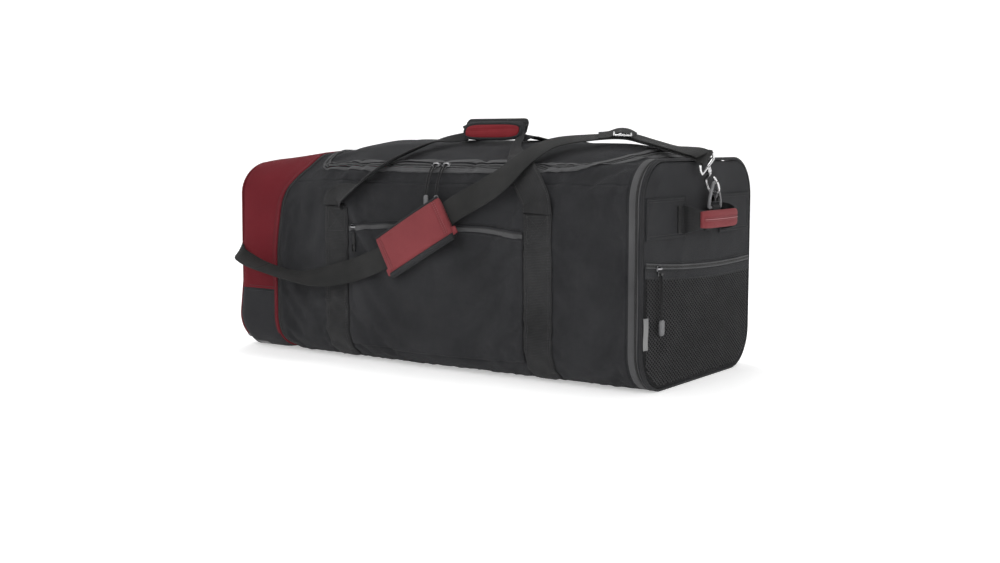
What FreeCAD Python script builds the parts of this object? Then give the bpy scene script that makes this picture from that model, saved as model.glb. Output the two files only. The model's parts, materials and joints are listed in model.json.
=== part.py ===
"""Rolling duffel bag that collapses into its own wheeled end box.

Frame, in millimetres: +X runs along the bag from the wheel end to the pocket end,
+Y points to the back, +Z up. The origin is the middle of the base, on the floor.
"""
import FreeCAD, Part
import math
import os

from FreeCAD import Vector

# ---- driving dimensions -------------------------------------------------------
length = 812.0            # end panel to end panel
width = 360.0             # front panel to back panel
end_height = 336.0        # height of both end panels
crown_height = 374.0      # top of the stuffed lid
bow_height = 384.0        # top of the long bow that lowers the crown towards both ends
edge_radius = 62.0        # long edges of the body, top and bottom
fabric = 2.5              # padded fabric wall
box_depth = 90.0          # rigid box at the wheel end that holds the folded bag
pan_depth = 26.0          # shallow pan behind the pocket end panel
zip_width = 8.0           # zip tape and teeth seen between two panels
piping_r = 2.5
box_edge_radius = 20.0    # wheel box edge next to its end wall
box_split_z = 108.0       # red upper part above, black lower part below
webbing = 50.0            # two inch carrying webbing
strap_width = 38.0        # inch and a half shoulder strap
webbing_thick = 2.0

half_length = length / 2
half_width = width / 2
box_rim_x = -half_length + box_depth
pan_rim_x = half_length - pan_depth
tube_start_x = box_rim_x + zip_width
tube_mid_x = (box_rim_x + pan_rim_x) / 2
flat_half = half_width - edge_radius          # half of the flat part of base and ends
shoulder_z = end_height - edge_radius         # height of the shoulder arcs' centres

# The top of the section is one arc, tangent to both shoulder arcs.
rise = crown_height - shoulder_z
crown_r = (flat_half ** 2 + rise ** 2 - edge_radius ** 2) / (2 * (rise - edge_radius))
crown_z = crown_height - crown_r
shoulder_angle = math.atan2(shoulder_z - crown_z, flat_half)    # where crown meets shoulder

# lid and its zip
lid_x0 = box_rim_x + 26.0
lid_x1 = pan_rim_x - 30.0
lid_half_y = 150.0
lid_corner_r = 80.0
lid_gap = 0.6
hinge_gap = 1.0

# carrying webbing on both long sides
strip_offset = 199.0
strip_xs = (tube_mid_x - strip_offset, tube_mid_x + strip_offset)
strip_top_z = 256.0
strip_foot_z = 8.0
grip_x = 55.0             # middle of the carrying grip
grip_length = 136.0
grip_y = -46.0
grip_z = 386.5
grip_tilt = (0, 28, 30)   # way from the grip's lower edge to its upper one
handle_lift = 3.0         # handle webbing's middle above the skin

# wheels
wheel_r = 25.0
wheel_width = 20.0
wheel_x = -401.0
wheel_y = 120.0
axle_r = 3.0
running_gap = 0.05
housing_half = 31.0

# pocket end hardware
ring_y = 20.0
ring_z = 262.0
ring_top_r = 9.0
eye_x = half_length + 13.0
hook_reach = 53.0                             # middle of the eye to the middle of the hook's bend
eye_bar = 7.0                                 # middle of the eye to its two long bars
eye_half = 23.5
eye_rod = 2.0
# Each hook: where its bend crosses the ring's plane, and the way from its eye to that place.
hooks = {
    "pocket_end": (Vector(eye_x, 17.9, 284.2), Vector(0, 0.515, -0.857)),
    "wheel_end": (Vector(-eye_x, 9.3, 269.2), Vector(0, 0.921, 0.39)),
}
handle_z = 247.0
handle_foot_y = 66.0
handle_bow = 34.0
pocket_zip_z = 180.0
pocket_band = 22.0
end_slider_y = -137.0

parts = {}


# ---- small helpers ------------------------------------------------------------
def box(x0, x1, y0, y1, z0, z1):
    """Block between two opposite corners."""
    return Part.makeBox(x1 - x0, y1 - y0, z1 - z0, Vector(x0, y0, z0))


def rod(start, end, radius):
    """Round bar between two points."""
    start = Vector(*start)
    axis = Vector(*end) - start
    return Part.makeCylinder(radius, axis.Length, start, axis)


def fuse_all(shapes):
    """One shape from touching shapes, with no seams left between them."""
    shapes = list(shapes)
    joined = shapes[0]
    for shape in shapes[1:]:
        joined = joined.fuse(shape)
    return joined.removeSplitter()


def arc_wire(points):
    """Closed wire from entries: a point is a corner, a pair of points is an arc's middle and end."""
    edges = []
    here = points[0]
    for entry in points[1:]:
        if isinstance(entry, tuple):
            middle, there = entry
            edges.append(Part.Arc(here, middle, there).toShape())
        else:
            there = entry
            edges.append(Part.LineSegment(here, there).toShape())
        here = there
    return Part.Wire(edges)


def rounded_wire(half_y, z0, z1, radius, x):
    """Rounded rectangle across the bag, at one place along X."""
    bend = radius * (1 - math.sqrt(0.5))

    def at(y, z):
        return Vector(x, y, z)

    return arc_wire([
        at(-half_y + radius, z0),
        at(half_y - radius, z0), (at(half_y - bend, z0 + bend), at(half_y, z0 + radius)),
        at(half_y, z1 - radius), (at(half_y - bend, z1 - bend), at(half_y - radius, z1)),
        at(-half_y + radius, z1), (at(-half_y + bend, z1 - bend), at(-half_y, z1 - radius)),
        at(-half_y, z0 + radius), (at(-half_y + bend, z0 + bend), at(-half_y + radius, z0)),
    ])


def end_prism(x0, x1, inset=0.0):
    """Solid with the outline of an end panel, shrunk by inset."""
    wire = rounded_wire(half_width - inset, inset, end_height - inset, edge_radius - inset, x0)
    return Part.Face(wire).extrude(Vector(x1 - x0, 0, 0))


def body_prism(x0, x1, inset=0.0):
    """Solid with the crowned section of the main tube, shrunk by inset."""
    r = edge_radius - inset
    side = half_width - inset
    bend = r * (1 - math.sqrt(0.5))
    mid = shoulder_angle / 2

    def at(y, z):
        return Vector(x0, y, z)

    def on_shoulder(angle, sign):
        return at(sign * (flat_half + r * math.cos(angle)), shoulder_z + r * math.sin(angle))

    wire = arc_wire([
        at(-flat_half, inset),
        at(flat_half, inset), (at(side - bend, inset + bend), at(side, edge_radius)),
        at(side, shoulder_z), (on_shoulder(mid, 1), on_shoulder(shoulder_angle, 1)),
        (at(0, crown_height - inset), on_shoulder(shoulder_angle, -1)),
        (on_shoulder(mid, -1), at(-side, shoulder_z)),
        at(-side, edge_radius), (at(-side + bend, inset + bend), at(-flat_half, inset)),
    ])
    return Part.Face(wire).extrude(Vector(x1 - x0, 0, 0))


def side_prism(inset=0.0):
    """Solid seen from the front as the tube: level base, top bowed up between the ends."""
    reach = half_width + 30

    def at(x, z):
        return Vector(x, -reach, z)

    wire = arc_wire([
        at(box_rim_x, -30), at(pan_rim_x, -30), at(pan_rim_x, end_height - inset),
        (at(tube_mid_x, bow_height - inset), at(box_rim_x, end_height - inset)),
        at(box_rim_x, -30),
    ])
    return Part.Face(wire).extrude(Vector(0, 2 * reach, 0))


def tube_solid(inset=0.0):
    """The stuffed main tube, crowned both ways, shrunk by inset."""
    return body_prism(box_rim_x, pan_rim_x, inset).common(side_prism(inset))


def lid_plan(grow, z0, z1):
    """Block over the lid opening: two round front corners, straight at the hinge."""
    r = lid_corner_r + grow
    bend = r * (1 - math.sqrt(0.5))
    x0, x1, y0, y1 = lid_x0 - grow, lid_x1 + grow, -lid_half_y - grow, lid_half_y

    def at(x, y):
        return Vector(x, y, z0)

    wire = arc_wire([
        at(x0, y1), at(x0, y0 + r), (at(x0 + bend, y0 + bend), at(x0 + r, y0)),
        at(x1 - r, y0), (at(x1 - bend, y0 + bend), at(x1, y0 + r)), at(x1, y1), at(x0, y1),
    ])
    return Part.Face(wire).extrude(Vector(0, 0, z1 - z0))


def ring_piping(x, inset, radius):
    """Round piping that follows an end panel's outline."""
    half_y = half_width - inset
    path = rounded_wire(half_y, inset, end_height - inset, edge_radius - inset, x)
    start = Vector(x, -flat_half, inset)
    profile = Part.Wire(Part.makeCircle(radius, start, Vector(0, 1, 0)))
    return path.makePipeShell([profile], True, False)


def ribbon(sections, thick):
    """Flat webbing through sections of (centre, unit width vector, unit normal, width)."""
    wires = []
    for centre, across, normal, wide in sections:
        u = across * (wide / 2)
        v = normal * (thick / 2)
        wires.append(Part.makePolygon([centre - u - v, centre + u - v, centre + u + v,
                                       centre - u + v, centre - u - v]))
    return Part.makeLoft(wires, True, True)


def over_body(run, lift, sign=-1):
    """Point and outward normal on the skin, run mm past the top of the front wall.

    Negative runs go down the wall. sign is -1 for the front and +1 for the back.
    """
    shoulder_run = edge_radius * shoulder_angle
    if run < 0:
        return Vector(0, sign * (half_width + lift), shoulder_z + run), Vector(0, sign, 0)
    if run < shoulder_run:
        angle = run / edge_radius
        normal = Vector(0, sign * math.cos(angle), math.sin(angle))
        return Vector(0, sign * flat_half, shoulder_z) + normal * (edge_radius + lift), normal
    angle = shoulder_angle + (run - shoulder_run) / crown_r
    normal = Vector(0, sign * math.cos(angle), math.sin(angle))
    return Vector(0, 0, crown_z) + normal * (crown_r + lift), normal


def drape(stops, lift, wide, sign=-1, steps=10):
    """Ribbon sections on the skin: stops are (run, x) pairs, joined by straight lines."""
    sections = []
    for (run_a, x_a), (run_b, x_b) in zip(stops, stops[1:]):
        first = 1 if sections else 0
        for k in range(first, steps + 1):
            t = k / steps
            point, normal = over_body(run_a + t * (run_b - run_a), lift, sign)
            point.x = x_a + t * (x_b - x_a)
            sections.append((point, Vector(1, 0, 0), normal, wide))
    return sections


def strap_sections(route, wide):
    """Ribbon sections from (x, y, z, normal) stops, with the width square to the path."""
    points = [Vector(x, y, z) for x, y, z, _ in route]
    sections = []
    for k, (point, stop) in enumerate(zip(points, route)):
        ahead = points[min(k + 1, len(points) - 1)] - points[max(k - 1, 0)]
        ahead.normalize()
        normal = Vector(*stop[3])
        normal = normal - ahead * normal.dot(ahead)
        normal.normalize()
        sections.append((point, normal.cross(ahead), normal, wide))
    return sections


def cord_tube(points, radius):
    """Cord along straight runs joined by tangent arcs as large as the runs allow."""
    points = [Vector(*p) for p in points]
    edges = []
    here = points[0]
    for before, corner, after in zip(points, points[1:], points[2:]):
        a = (before - corner)
        b = (after - corner)
        turn = math.pi - a.getAngle(b)
        set_back = 0.45 * min(a.Length, b.Length)
        bend_r = set_back / math.tan(turn / 2)
        a.normalize()
        b.normalize()
        enter = corner + a * set_back
        leave = corner + b * set_back
        centre_dir = (a + b)
        centre_dir.normalize()
        reach = bend_r / math.cos(turn / 2) - bend_r
        middle = corner + centre_dir * reach
        edges.append(Part.LineSegment(here, enter).toShape())
        edges.append(Part.Arc(enter, middle, leave).toShape())
        here = leave
    edges.append(Part.LineSegment(here, points[-1]).toShape())
    path = Part.Wire(edges)
    start_dir = points[1] - points[0]
    profile = Part.Wire(Part.makeCircle(radius, points[0], start_dir))
    return path.makePipeShell([profile], True, False)


def seat(shape, origin, x_dir, normal):
    """Copy of a shape built on the XY plane, moved so that its +Z points along normal."""
    x_dir = Vector(*x_dir)
    normal = Vector(*normal)
    y_dir = normal.cross(x_dir)
    matrix = FreeCAD.Matrix(x_dir.x, y_dir.x, normal.x, origin[0],
                            x_dir.y, y_dir.y, normal.y, origin[1],
                            x_dir.z, y_dir.z, normal.z, origin[2],
                            0, 0, 0, 1)
    return shape.transformGeometry(matrix)


def rod_loop(points, corner_r, radius):
    """Closed loop of round rod in a plane, with one corner radius for each point."""
    points = [Vector(*p) for p in points]
    count = len(points)
    ends = []
    for k, corner in enumerate(points):
        a = points[k - 1] - corner
        b = points[(k + 1) % count] - corner
        half = a.getAngle(b) / 2
        a.normalize()
        b.normalize()
        back = corner_r[k] / math.tan(half)
        bisector = a + b
        bisector.normalize()
        middle = corner + bisector * (corner_r[k] / math.sin(half) - corner_r[k])
        ends.append((corner + a * back, middle, corner + b * back))
    edges = []
    for k, (enter, middle, leave) in enumerate(ends):
        edges.append(Part.Arc(enter, middle, leave).toShape())
        edges.append(Part.LineSegment(leave, ends[(k + 1) % count][0]).toShape())
    path = Part.Wire(edges)
    start = ends[0][2]
    profile = Part.Wire(Part.makeCircle(radius, start, ends[1][0] - start))
    return path_sweep(path, profile, start)


def path_sweep(path, profile, start):
    """Sweep that starts at the given point of a closed path."""
    edges = list(path.Edges)
    while (edges[0].valueAt(edges[0].FirstParameter) - start).Length > 1e-6:
        edges.append(edges.pop(0))
    return Part.Wire(edges).makePipeShell([profile], True, False)


# ---- main tube and its two ends -----------------------------------------------
def make_tube():
    """Soft walls of the main compartment, the lid and the zip between them."""
    shell = tube_solid().cut(tube_solid(fabric))
    shell = shell.common(box(tube_start_x, pan_rim_x, -400, 400, -10, 600))
    seam_z = 300.0
    front = box(tube_start_x, pan_rim_x, -400, -flat_half, -10, seam_z)
    back = box(tube_start_x, pan_rim_x, flat_half, 400, -10, seam_z)
    base = box(tube_start_x, pan_rim_x, -flat_half, flat_half, -10, 100)
    top = box(tube_start_x, pan_rim_x, -400, 400, seam_z, 600)
    parts["front_panel"] = shell.common(front)
    parts["back_panel"] = shell.common(back)
    parts["base_panel"] = shell.common(base)
    opening = lid_plan(lid_gap + zip_width, seam_z - 40, 600)
    parts["top_border"] = shell.common(top).cut(opening)
    behind_hinge = box(-400, 400, lid_half_y - hinge_gap, 400, 0, 600)
    parts["lid_panel"] = shell.common(lid_plan(0, seam_z - 40, 600)).cut(behind_hinge)
    parts["main_zip_track"] = shell.common(opening).cut(lid_plan(lid_gap, seam_z - 40, 600))


def make_wheel_box():
    """Rigid end box: red above, black below, piped at its rim and at its end wall."""
    def solid(inset, open_by=0.0):
        x0 = -half_length + inset
        shape = end_prism(x0, box_rim_x + open_by, inset)
        rim = [e for e in shape.Edges if e.BoundBox.XMax < x0 + 0.01]
        return shape.makeFillet(box_edge_radius - inset, rim)

    wall = 3.0
    outer = solid(0)
    shell = outer.cut(solid(wall, 5)).cut(box(box_rim_x - piping_r, 0, -200, 200, -10, 400))
    corner = box_edge_radius * (1 - math.sqrt(0.5))
    parts["rim_piping"] = ring_piping(box_rim_x - piping_r, piping_r, piping_r)
    parts["wheel_end_piping"] = ring_piping(-half_length + corner, corner, 2.0)
    shell = shell.cut(parts["rim_piping"]).cut(parts["wheel_end_piping"])
    upper = box(-450, -300, -200, 200, box_split_z, 400)
    lower = box(-450, -300, -200, 200, -10, box_split_z)
    parts["wheel_box_upper"] = shell.common(upper)
    lower_shell = shell.common(lower)
    rivets = []
    axles = []
    for side, sign in (("left", -1), ("right", 1)):
        y = sign * wheel_y
        seat_block = box(-half_length - 1, -360, y - housing_half, y + housing_half, 0, 58)
        flange = Part.makeCylinder(housing_half, wall, Vector(-366, y, 0))
        seat_block = seat_block.fuse(flange).common(outer)
        ears = rod((wheel_x, y - housing_half, wheel_r), (wheel_x, y + housing_half, wheel_r), 10)
        slot = box(-460, wheel_x, y - 12, y + 12, -5, wheel_r + 29)
        slot = slot.fuse(box(wheel_x, wheel_x + 29, y - 12, y + 12, -5, wheel_r))
        slot = slot.fuse(rod((wheel_x, y - 12, wheel_r), (wheel_x, y + 12, wheel_r), 29))
        axle = rod((wheel_x, y - housing_half, wheel_r), (wheel_x, y + housing_half, wheel_r), axle_r)
        rivet = rod((-346, y, 0.3), (-346, y, 1.5), 4).fuse(rod((-346, y, 1.5), (-346, y, 5), 2))
        body = seat_block.fuse(ears).cut(slot).cut(axle).cut(rivet)
        envelope = seat_block.fuse(ears).fuse(slot)
        lower_shell = lower_shell.cut(envelope).cut(rivet)
        parts["wheel_end_piping"] = parts["wheel_end_piping"].cut(envelope)
        parts["wheel_housing_" + side] = body
        rivets.append(rivet)
        axles.append(axle)
        make_wheel(side, y)
    parts["wheel_box_lower"] = lower_shell
    parts["housing_rivets"] = Part.Compound(rivets)
    parts["wheel_axles"] = Part.Compound(axles)
    rim_zip = end_prism(box_rim_x, tube_start_x).cut(end_prism(box_rim_x - 1, tube_start_x + 1, fabric))
    parts["rim_zip_track"] = rim_zip


def make_wheel(side, y):
    """Rubber tyre on a plastic hub that runs free on its axle."""
    half = wheel_width / 2
    hub_r = 17.0
    tyre = rod((wheel_x, y - half, wheel_r), (wheel_x, y + half, wheel_r), wheel_r)
    tyre = tyre.makeFillet(4, [e for e in tyre.Edges if e.BoundBox.YLength < 0.01])
    core = rod((wheel_x, y - half, wheel_r), (wheel_x, y + half, wheel_r), hub_r)
    bore = rod((wheel_x, y - half - 1, wheel_r), (wheel_x, y + half + 1, wheel_r), axle_r + running_gap)
    parts["tyre_" + side] = tyre.cut(core)
    parts["hub_" + side] = core.cut(bore)


def make_end_pan():
    """Pocket end: panel with a short skirt, piping, zip and the mesh pocket."""
    skirt_end = half_length - piping_r
    skirt = end_prism(pan_rim_x + zip_width, skirt_end).cut(end_prism(pan_rim_x, half_length, fabric))
    plate = end_prism(half_length - 3, half_length, piping_r)
    piping = ring_piping(skirt_end, piping_r, piping_r)
    lining = end_prism(half_length - 8, half_length - 3, fabric).cut(
        end_prism(half_length - 9, half_length, 3 * piping_r))
    parts["end_piping"] = piping
    parts["end_panel"] = fuse_all([skirt, lining, plate]).cut(piping)
    track = end_prism(pan_rim_x, pan_rim_x + zip_width)
    parts["end_zip_track"] = track.cut(end_prism(pan_rim_x - 1, pan_rim_x + zip_width + 1, fabric))
    face = end_prism(half_length, half_length + 2, 2 * piping_r + 0.5)
    zip_low = pocket_zip_z - 4
    zip_high = pocket_zip_z + 4
    band_low = zip_low - pocket_band
    parts["end_pocket_mesh"] = face.common(box(400, half_length + 1.5, -400, 400, 0, band_low))
    parts["end_pocket_band"] = face.common(box(400, half_length + 1.5, -400, 400, band_low, zip_low))
    parts["end_pocket_zip"] = face.common(box(400, 430, -400, 400, zip_low, zip_high))
    feet = []
    for sign in (-1, 1):
        low, high = sorted((sign * (handle_foot_y + 2), sign * 172))
        feet.append(box(half_length, half_length + 2, low, high, handle_z - 25, handle_z + 25))
    parts["end_handle_patches"] = Part.Compound(feet)
    tag_y = -half_width + 12
    tag_x = half_length + 1.5
    parts["side_tag"] = box(tag_x, tag_x + 1.2, tag_y - 6, tag_y + 8, 66, 112)


def make_end_handle():
    """Short grab handle that bows out from the pocket end."""
    x = half_length
    route = [(x + 3, -handle_foot_y), (x + 18, -handle_foot_y - 3), (x + 30, -60), (x + handle_bow, -40),
             (x + handle_bow + 1, 0)]
    route += [(px, -py) for px, py in reversed(route[:-1])]
    stops = []
    for k, (px, py) in enumerate(route):
        before = Vector(*route[max(k - 1, 0)], 0)
        after = Vector(*route[min(k + 1, len(route) - 1)], 0)
        ahead = after - before
        stops.append((px, py, handle_z, (ahead.y, -ahead.x, 0)))
    widths = [44, 34, 24, 24, 24, 24, 24, 34, 44]
    sections = [(point, across, normal, wide)
                for (point, across, normal, _), wide in zip(strap_sections(stops, 1), widths)]
    parts["end_handle_webbing"] = ribbon(sections, webbing_thick)
    grip = ribbon(strap_sections(stops[2:-2], 32), 9)
    parts["end_handle_grip"] = grip.cut(parts["end_handle_webbing"])


# ---- hardware for the shoulder strap ------------------------------------------
def make_ring_and_hook(prefix, sign):
    """Sewn tab, triangular ring and swivel snap hook at one end; sign is the end's X side."""
    x_face = sign * half_length
    out = Vector(sign, 0, 0)
    x = x_face + sign * (eye_x - half_length)

    bar_half = 20.0
    apex_z = ring_z + 38
    rod_r = 2.2
    ring_pts = [(x, ring_y - bar_half, ring_z), (x, ring_y + bar_half, ring_z), (x, ring_y, apex_z)]
    parts[prefix + "_ring"] = rod_loop(ring_pts, (4, 4, ring_top_r), rod_r)

    wide = 25.0
    side = Vector(0, 1, 0)
    web = ribbon([(Vector(x_face + sign * 1.5, ring_y, ring_z - 34), side, out, wide),
                  (Vector(x_face + sign * 1.6, ring_y, ring_z - 22), side, out, wide),
                  (Vector(x, ring_y, ring_z), side, out, wide)], 3)
    fold = rod((x, ring_y - wide / 2, ring_z), (x, ring_y + wide / 2, ring_z), rod_r + 2.2)
    through = rod((x, ring_y - 50, ring_z), (x, ring_y + 50, ring_z), rod_r + 0.1)
    parts[prefix + "_ring_tab"] = web.fuse(fold).cut(through)

    bend_place, down = hooks[prefix]
    across = Vector(0, -down.z, down.y)
    eye = bend_place - down * hook_reach

    def at(s, t, e=0.0):
        return eye + down * s + out * t + across * e

    swivel = rod(at(7.5, 0), at(17, 0), 4.2)
    eye_loop = rod_loop([at(-eye_bar, 0, -eye_half), at(-eye_bar, 0, eye_half),
                         at(eye_bar, 0, eye_half), at(eye_bar, 0, -eye_half)], (5, 5, 5, 5), eye_rod)
    parts[prefix + "_hook_eye"] = eye_loop.fuse(swivel).removeSplitter()
    hook_r = 2.4
    bend = 9.0
    bend_s = hook_reach - bend
    tip_s = 34.0
    path = Part.Wire([
        Part.LineSegment(at(17.2, 0), at(22, 0)).toShape(),
        Part.LineSegment(at(22, 0), at(28, -bend)).toShape(),
        Part.LineSegment(at(28, -bend), at(bend_s, -bend)).toShape(),
        Part.Arc(at(bend_s, -bend), at(hook_reach, 0), at(bend_s, bend)).toShape(),
        Part.LineSegment(at(bend_s, bend), at(tip_s, bend)).toShape(),
    ])
    profile = Part.Wire(Part.makeCircle(hook_r, at(17.2, 0), down))
    hook = path.makePipeShell([profile], True, False, 2)
    parts[prefix + "_hook"] = hook
    parts[prefix + "_hook_gate"] = rod(at(tip_s - 1.4, bend - 0.4), at(24.5, 5.0), 1.7)


# ---- zip sliders and pulls ----------------------------------------------------
def slider_shape(post=True):
    """Slider on the XY plane: zip along X, pull plate towards -Y, post for the cord."""
    shape = box(-7, 7, -4.5, 4.5, 0.2, 2.4).fuse(box(-5, 5, -3, 3, 2.4, 4.4))
    shape = shape.fuse(box(-2.5, 2.5, -10.5, -4, 0.8, 2.2))
    if post:
        peg = rod((0, -8.5, 1), (0, -8.5, 7.4), 0.8).fuse(rod((0, -8.5, 6.8), (0, -8.5, 7.8), 2))
        shape = shape.fuse(peg)
    return shape.removeSplitter()


def make_main_sliders():
    """Two sliders that meet on the front run of the lid's zip, with cord pulls."""
    run = 57.0
    seat_point, normal = over_body(run, 0.4)
    half_fold = 2.8
    cord_yz = [(-183.9, 278.3), (-182.1, 289.8), (-178.3, 302.0), (-172.8, 312.5), (-168.6, 318.0)]
    fold_yz = (-163.4, 323.6)
    for name, x in (("a", 24.0), ("b", 44.0)):
        origin = (x, seat_point.y, seat_point.z)
        parts["main_slider_" + name] = seat(slider_shape(), origin, (1, 0, 0), normal)
        left = [(x - 1.7 - 0.22 * k, y, z) for k, (y, z) in enumerate(cord_yz)]
        right = [(x + 1.7 + 0.22 * k, y, z) for k, (y, z) in enumerate(cord_yz)]
        route = left + [(x - half_fold, *fold_yz), (x + half_fold, *fold_yz)] + right[::-1]
        parts["main_pull_cord_" + name] = cord_tube(route, 1.1)
        y, z = cord_yz[0]
        tip = box(x - 4.5, x + 4.5, y - 2.2, y + 2.2, z - 22, z)
        parts["main_pull_tip_" + name] = tip.makeFillet(1.6, tip.Edges)


def make_end_pocket_slider():
    """Slider of the end pocket and its hanging cord loop."""
    x = half_length + 2.0
    y = end_slider_y
    parts["end_pocket_slider"] = seat(slider_shape(), (x, y, pocket_zip_z), (0, 1, 0), (1, 0, 0))
    fold_z = pocket_zip_z - 6.1
    half_fold = 2.8
    leg = [(6.6, 1.6, 106.0), (6.0, 1.8, 121.0), (5.6, 2.1, 136.0), (5.0, 2.4, 150.0), (4.8, 2.6, 162.0)]
    left = [(x + out, y - half, z) for out, half, z in leg]
    right = [(x + out, y + half, z) for out, half, z in leg]
    route = left + [(x + 4.6, y - half_fold, fold_z), (x + 4.6, y + half_fold, fold_z)] + right[::-1]
    parts["end_pull_cord"] = cord_tube(route, 1.1)
    tip = box(x + 4, x + 9, y - 5, y + 5, 84, 106)
    parts["end_pull_tip"] = tip.makeFillet(1.8, tip.Edges)


def make_front_pocket():
    """Flat zip pocket between the two webbing strips."""
    x0 = strip_xs[0] + webbing / 2 + 1
    x1 = strip_xs[1] - webbing / 2 - 1
    skin = body_prism(x0, x1, -webbing_thick).cut(body_prism(x0 - 1, x1 + 1))
    zip_z = 232.0
    front = box(x0, x1, -400, -flat_half - 30, 30, zip_z - 4)
    parts["front_pocket_panel"] = skin.common(front)
    parts["front_pocket_zip"] = skin.common(box(x0, x1, -400, -flat_half, zip_z - 4, zip_z + 4))
    origin = (x0 + 14, -half_width - webbing_thick, zip_z)
    parts["front_pocket_slider"] = seat(slider_shape(False), origin, (1, 0, 0), (0, -1, 0))
    tab = box(-3, 3, -40, -10.8, 1.2, 3.2)
    tab = tab.makeFillet(0.8, tab.Edges)
    parts["front_pocket_pull"] = seat(tab, origin, (1, 0, 0), (0, -1, 0))


# ---- carrying handles ---------------------------------------------------------
def make_webbing_strips():
    """Two sewn webbing strips on each long side, from the base seam up to the handles."""
    for name, sign in (("front_webbing", -1), ("back_webbing", 1)):
        low, high = sorted((sign * flat_half, sign * 400))
        strips = []
        for x in strip_xs:
            x0, x1 = x - webbing / 2, x + webbing / 2
            skin = body_prism(x0, x1, -webbing_thick).cut(body_prism(x0 - 1, x1 + 1))
            strips.append(skin.common(box(x0, x1, low, high, strip_foot_z, strip_top_z)))
        parts[name] = Part.Compound(strips)


def make_carry_handles():
    """Slack webbing from each strip up to the grip on the crown, front and back."""
    tilt = Vector(*grip_tilt)
    tilt.normalize()
    facing = Vector(0, -tilt.z, tilt.y)
    foot_run = strip_top_z + 1 - shoulder_z
    tall = 34.0
    grip_mid = Vector(grip_x, grip_y, grip_z)

    def bar(middle, half_x, tall, thick):
        ends = [(middle + Vector(dx, 0, 0), tilt, facing, tall) for dx in (-half_x, half_x)]
        return ribbon(ends, thick)

    def handle(sign, reach, middle, lean):
        shapes = [bar(middle, grip_length / 2 + 4, tall, webbing_thick)]
        for x, side in zip(strip_xs, (-1, 1)):
            end_x = grip_x + side * (grip_length / 2 + 6)
            stops = [(foot_run, x), (57, x + lean * (end_x - x)), (reach, end_x)]
            leg = drape(stops, handle_lift, webbing, sign)
            root = middle - tilt * 15
            leg.append((Vector(end_x, root.y, root.z), Vector(1, 0, 0), facing, webbing))
            shapes.append(ribbon(leg, webbing_thick))
        return fuse_all(shapes)

    front = handle(-1, 168, grip_mid, 0.45)
    back_mid = grip_mid + Vector(0, 14, 0)
    parts["handle_front_webbing"] = front
    parts["handle_back_webbing"] = handle(1, 258, back_mid, 0.3)
    wrap = bar(grip_mid, grip_length / 2, tall + 3, 10)
    parts["handle_grip_wrap"] = wrap.cut(front)


# ---- shoulder strap -----------------------------------------------------------
STRAP_ROUTE = [
    (398, -18, 347, (0.1, -0.3, 1)), (370, -26, 357, (0, -0.15, 1)), (335, -38, 366, (0, -0.15, 1)),
    (300, -54, 372, (0, -0.2, 1)), (255, -78, 370, (0, -0.3, 1)), (216, -110, 360, (0, -0.45, 0.9)),
    (200, -142, 346, (0, -0.6, 0.8)), (188, -169, 328, (0, -0.75, 0.66)),
    (172, -186, 307, (0, -0.93, 0.37)), (142, -191, 287, (0, -1, 0.1)), (91, -191, 262, (0, -1, 0)),
    (57, -191, 241, (0, -1, 0)), (10, -191, 214, (0, -1, 0)), (-54, -191, 179, (0, -1, 0)),
    (-86, -191, 165, (0, -1, 0)), (-129, -191, 151, (0, -1, 0)), (-173, -191, 141, (0, -1, 0.1)),
    (-205, -192, 138, (0, -0.95, 0.3)), (-250, -195, 139, (0, -0.8, 0.6)),
    (-300, -196, 147, (0, -0.75, 0.66)), (-345, -196, 158, (-0.05, -0.75, 0.6)),
    (-382, -193, 167, (-0.35, -0.85, 0.4)), (-408, -180, 174, (-0.7, -0.65, 0.25)),
    (-422, -152, 182, (-0.95, -0.25, 0.15)), (-427, -117, 198, (-1, 0, 0)),
    (-428, -85, 222, (-1, 0, 0)), (-425, -60, 238, (-1, 0, 0)),
]
STRAP_WRAP = 3.4                              # strap's middle to the middle of the bar it goes round


def around_eye(prefix, angles):
    """Strap stops round the bar of a hook's eye; angle 0 is outwards and 90 away from the ring."""
    bend_place, down = hooks[prefix]
    bar = bend_place - down * (hook_reach + eye_bar)
    outwards = math.copysign(1, bend_place.x)
    stops = []
    for degrees in angles:
        angle = math.radians(degrees)
        normal = Vector(outwards * math.cos(angle), 0, 0) - down * math.sin(angle)
        point = bar + normal * STRAP_WRAP
        stops.append((point.x, point.y, point.z, tuple(normal)))
    return stops


def make_shoulder_strap():
    """Strap from hook to hook, with its metal adjuster and the padded sleeve."""
    route = around_eye("pocket_end", (-110, -60, -10, 40, 90)) + STRAP_ROUTE
    route += around_eye("wheel_end", (10, -40, -90, -140, -190))
    strap = ribbon(strap_sections(route, strap_width), webbing_thick)
    parts["shoulder_strap"] = strap.cut(parts["wheel_end_hook_eye"]).cut(parts["pocket_end_hook_eye"])

    along = Vector(-35, -20, 2)
    along.normalize()
    normal = Vector(0, -0.2, 1)
    normal = normal - along * normal.dot(along)
    normal.normalize()
    middle = Vector(300, -54, 372) + normal * 5
    frame = box(-14, 14, -23, 23, -1.5, 1.5)
    for side in (-1, 1):
        low, high = sorted((side * 2, side * 10.5))
        frame = frame.cut(box(low, high, -19.5, 19.5, -5, 5))
    parts["strap_adjuster"] = seat(frame, middle, along, normal)

    slope = math.atan2(62, 111)                   # the strap's slope under the pad
    pad = box(-75, 75, -31, 31, 0, 11)
    pad = pad.makeFillet(4, pad.Edges)
    origin = (10, -192.6, 214)
    parts["strap_pad"] = seat(pad, origin, (math.cos(slope), 0, math.sin(slope)), (0, -1, 0))


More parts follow.
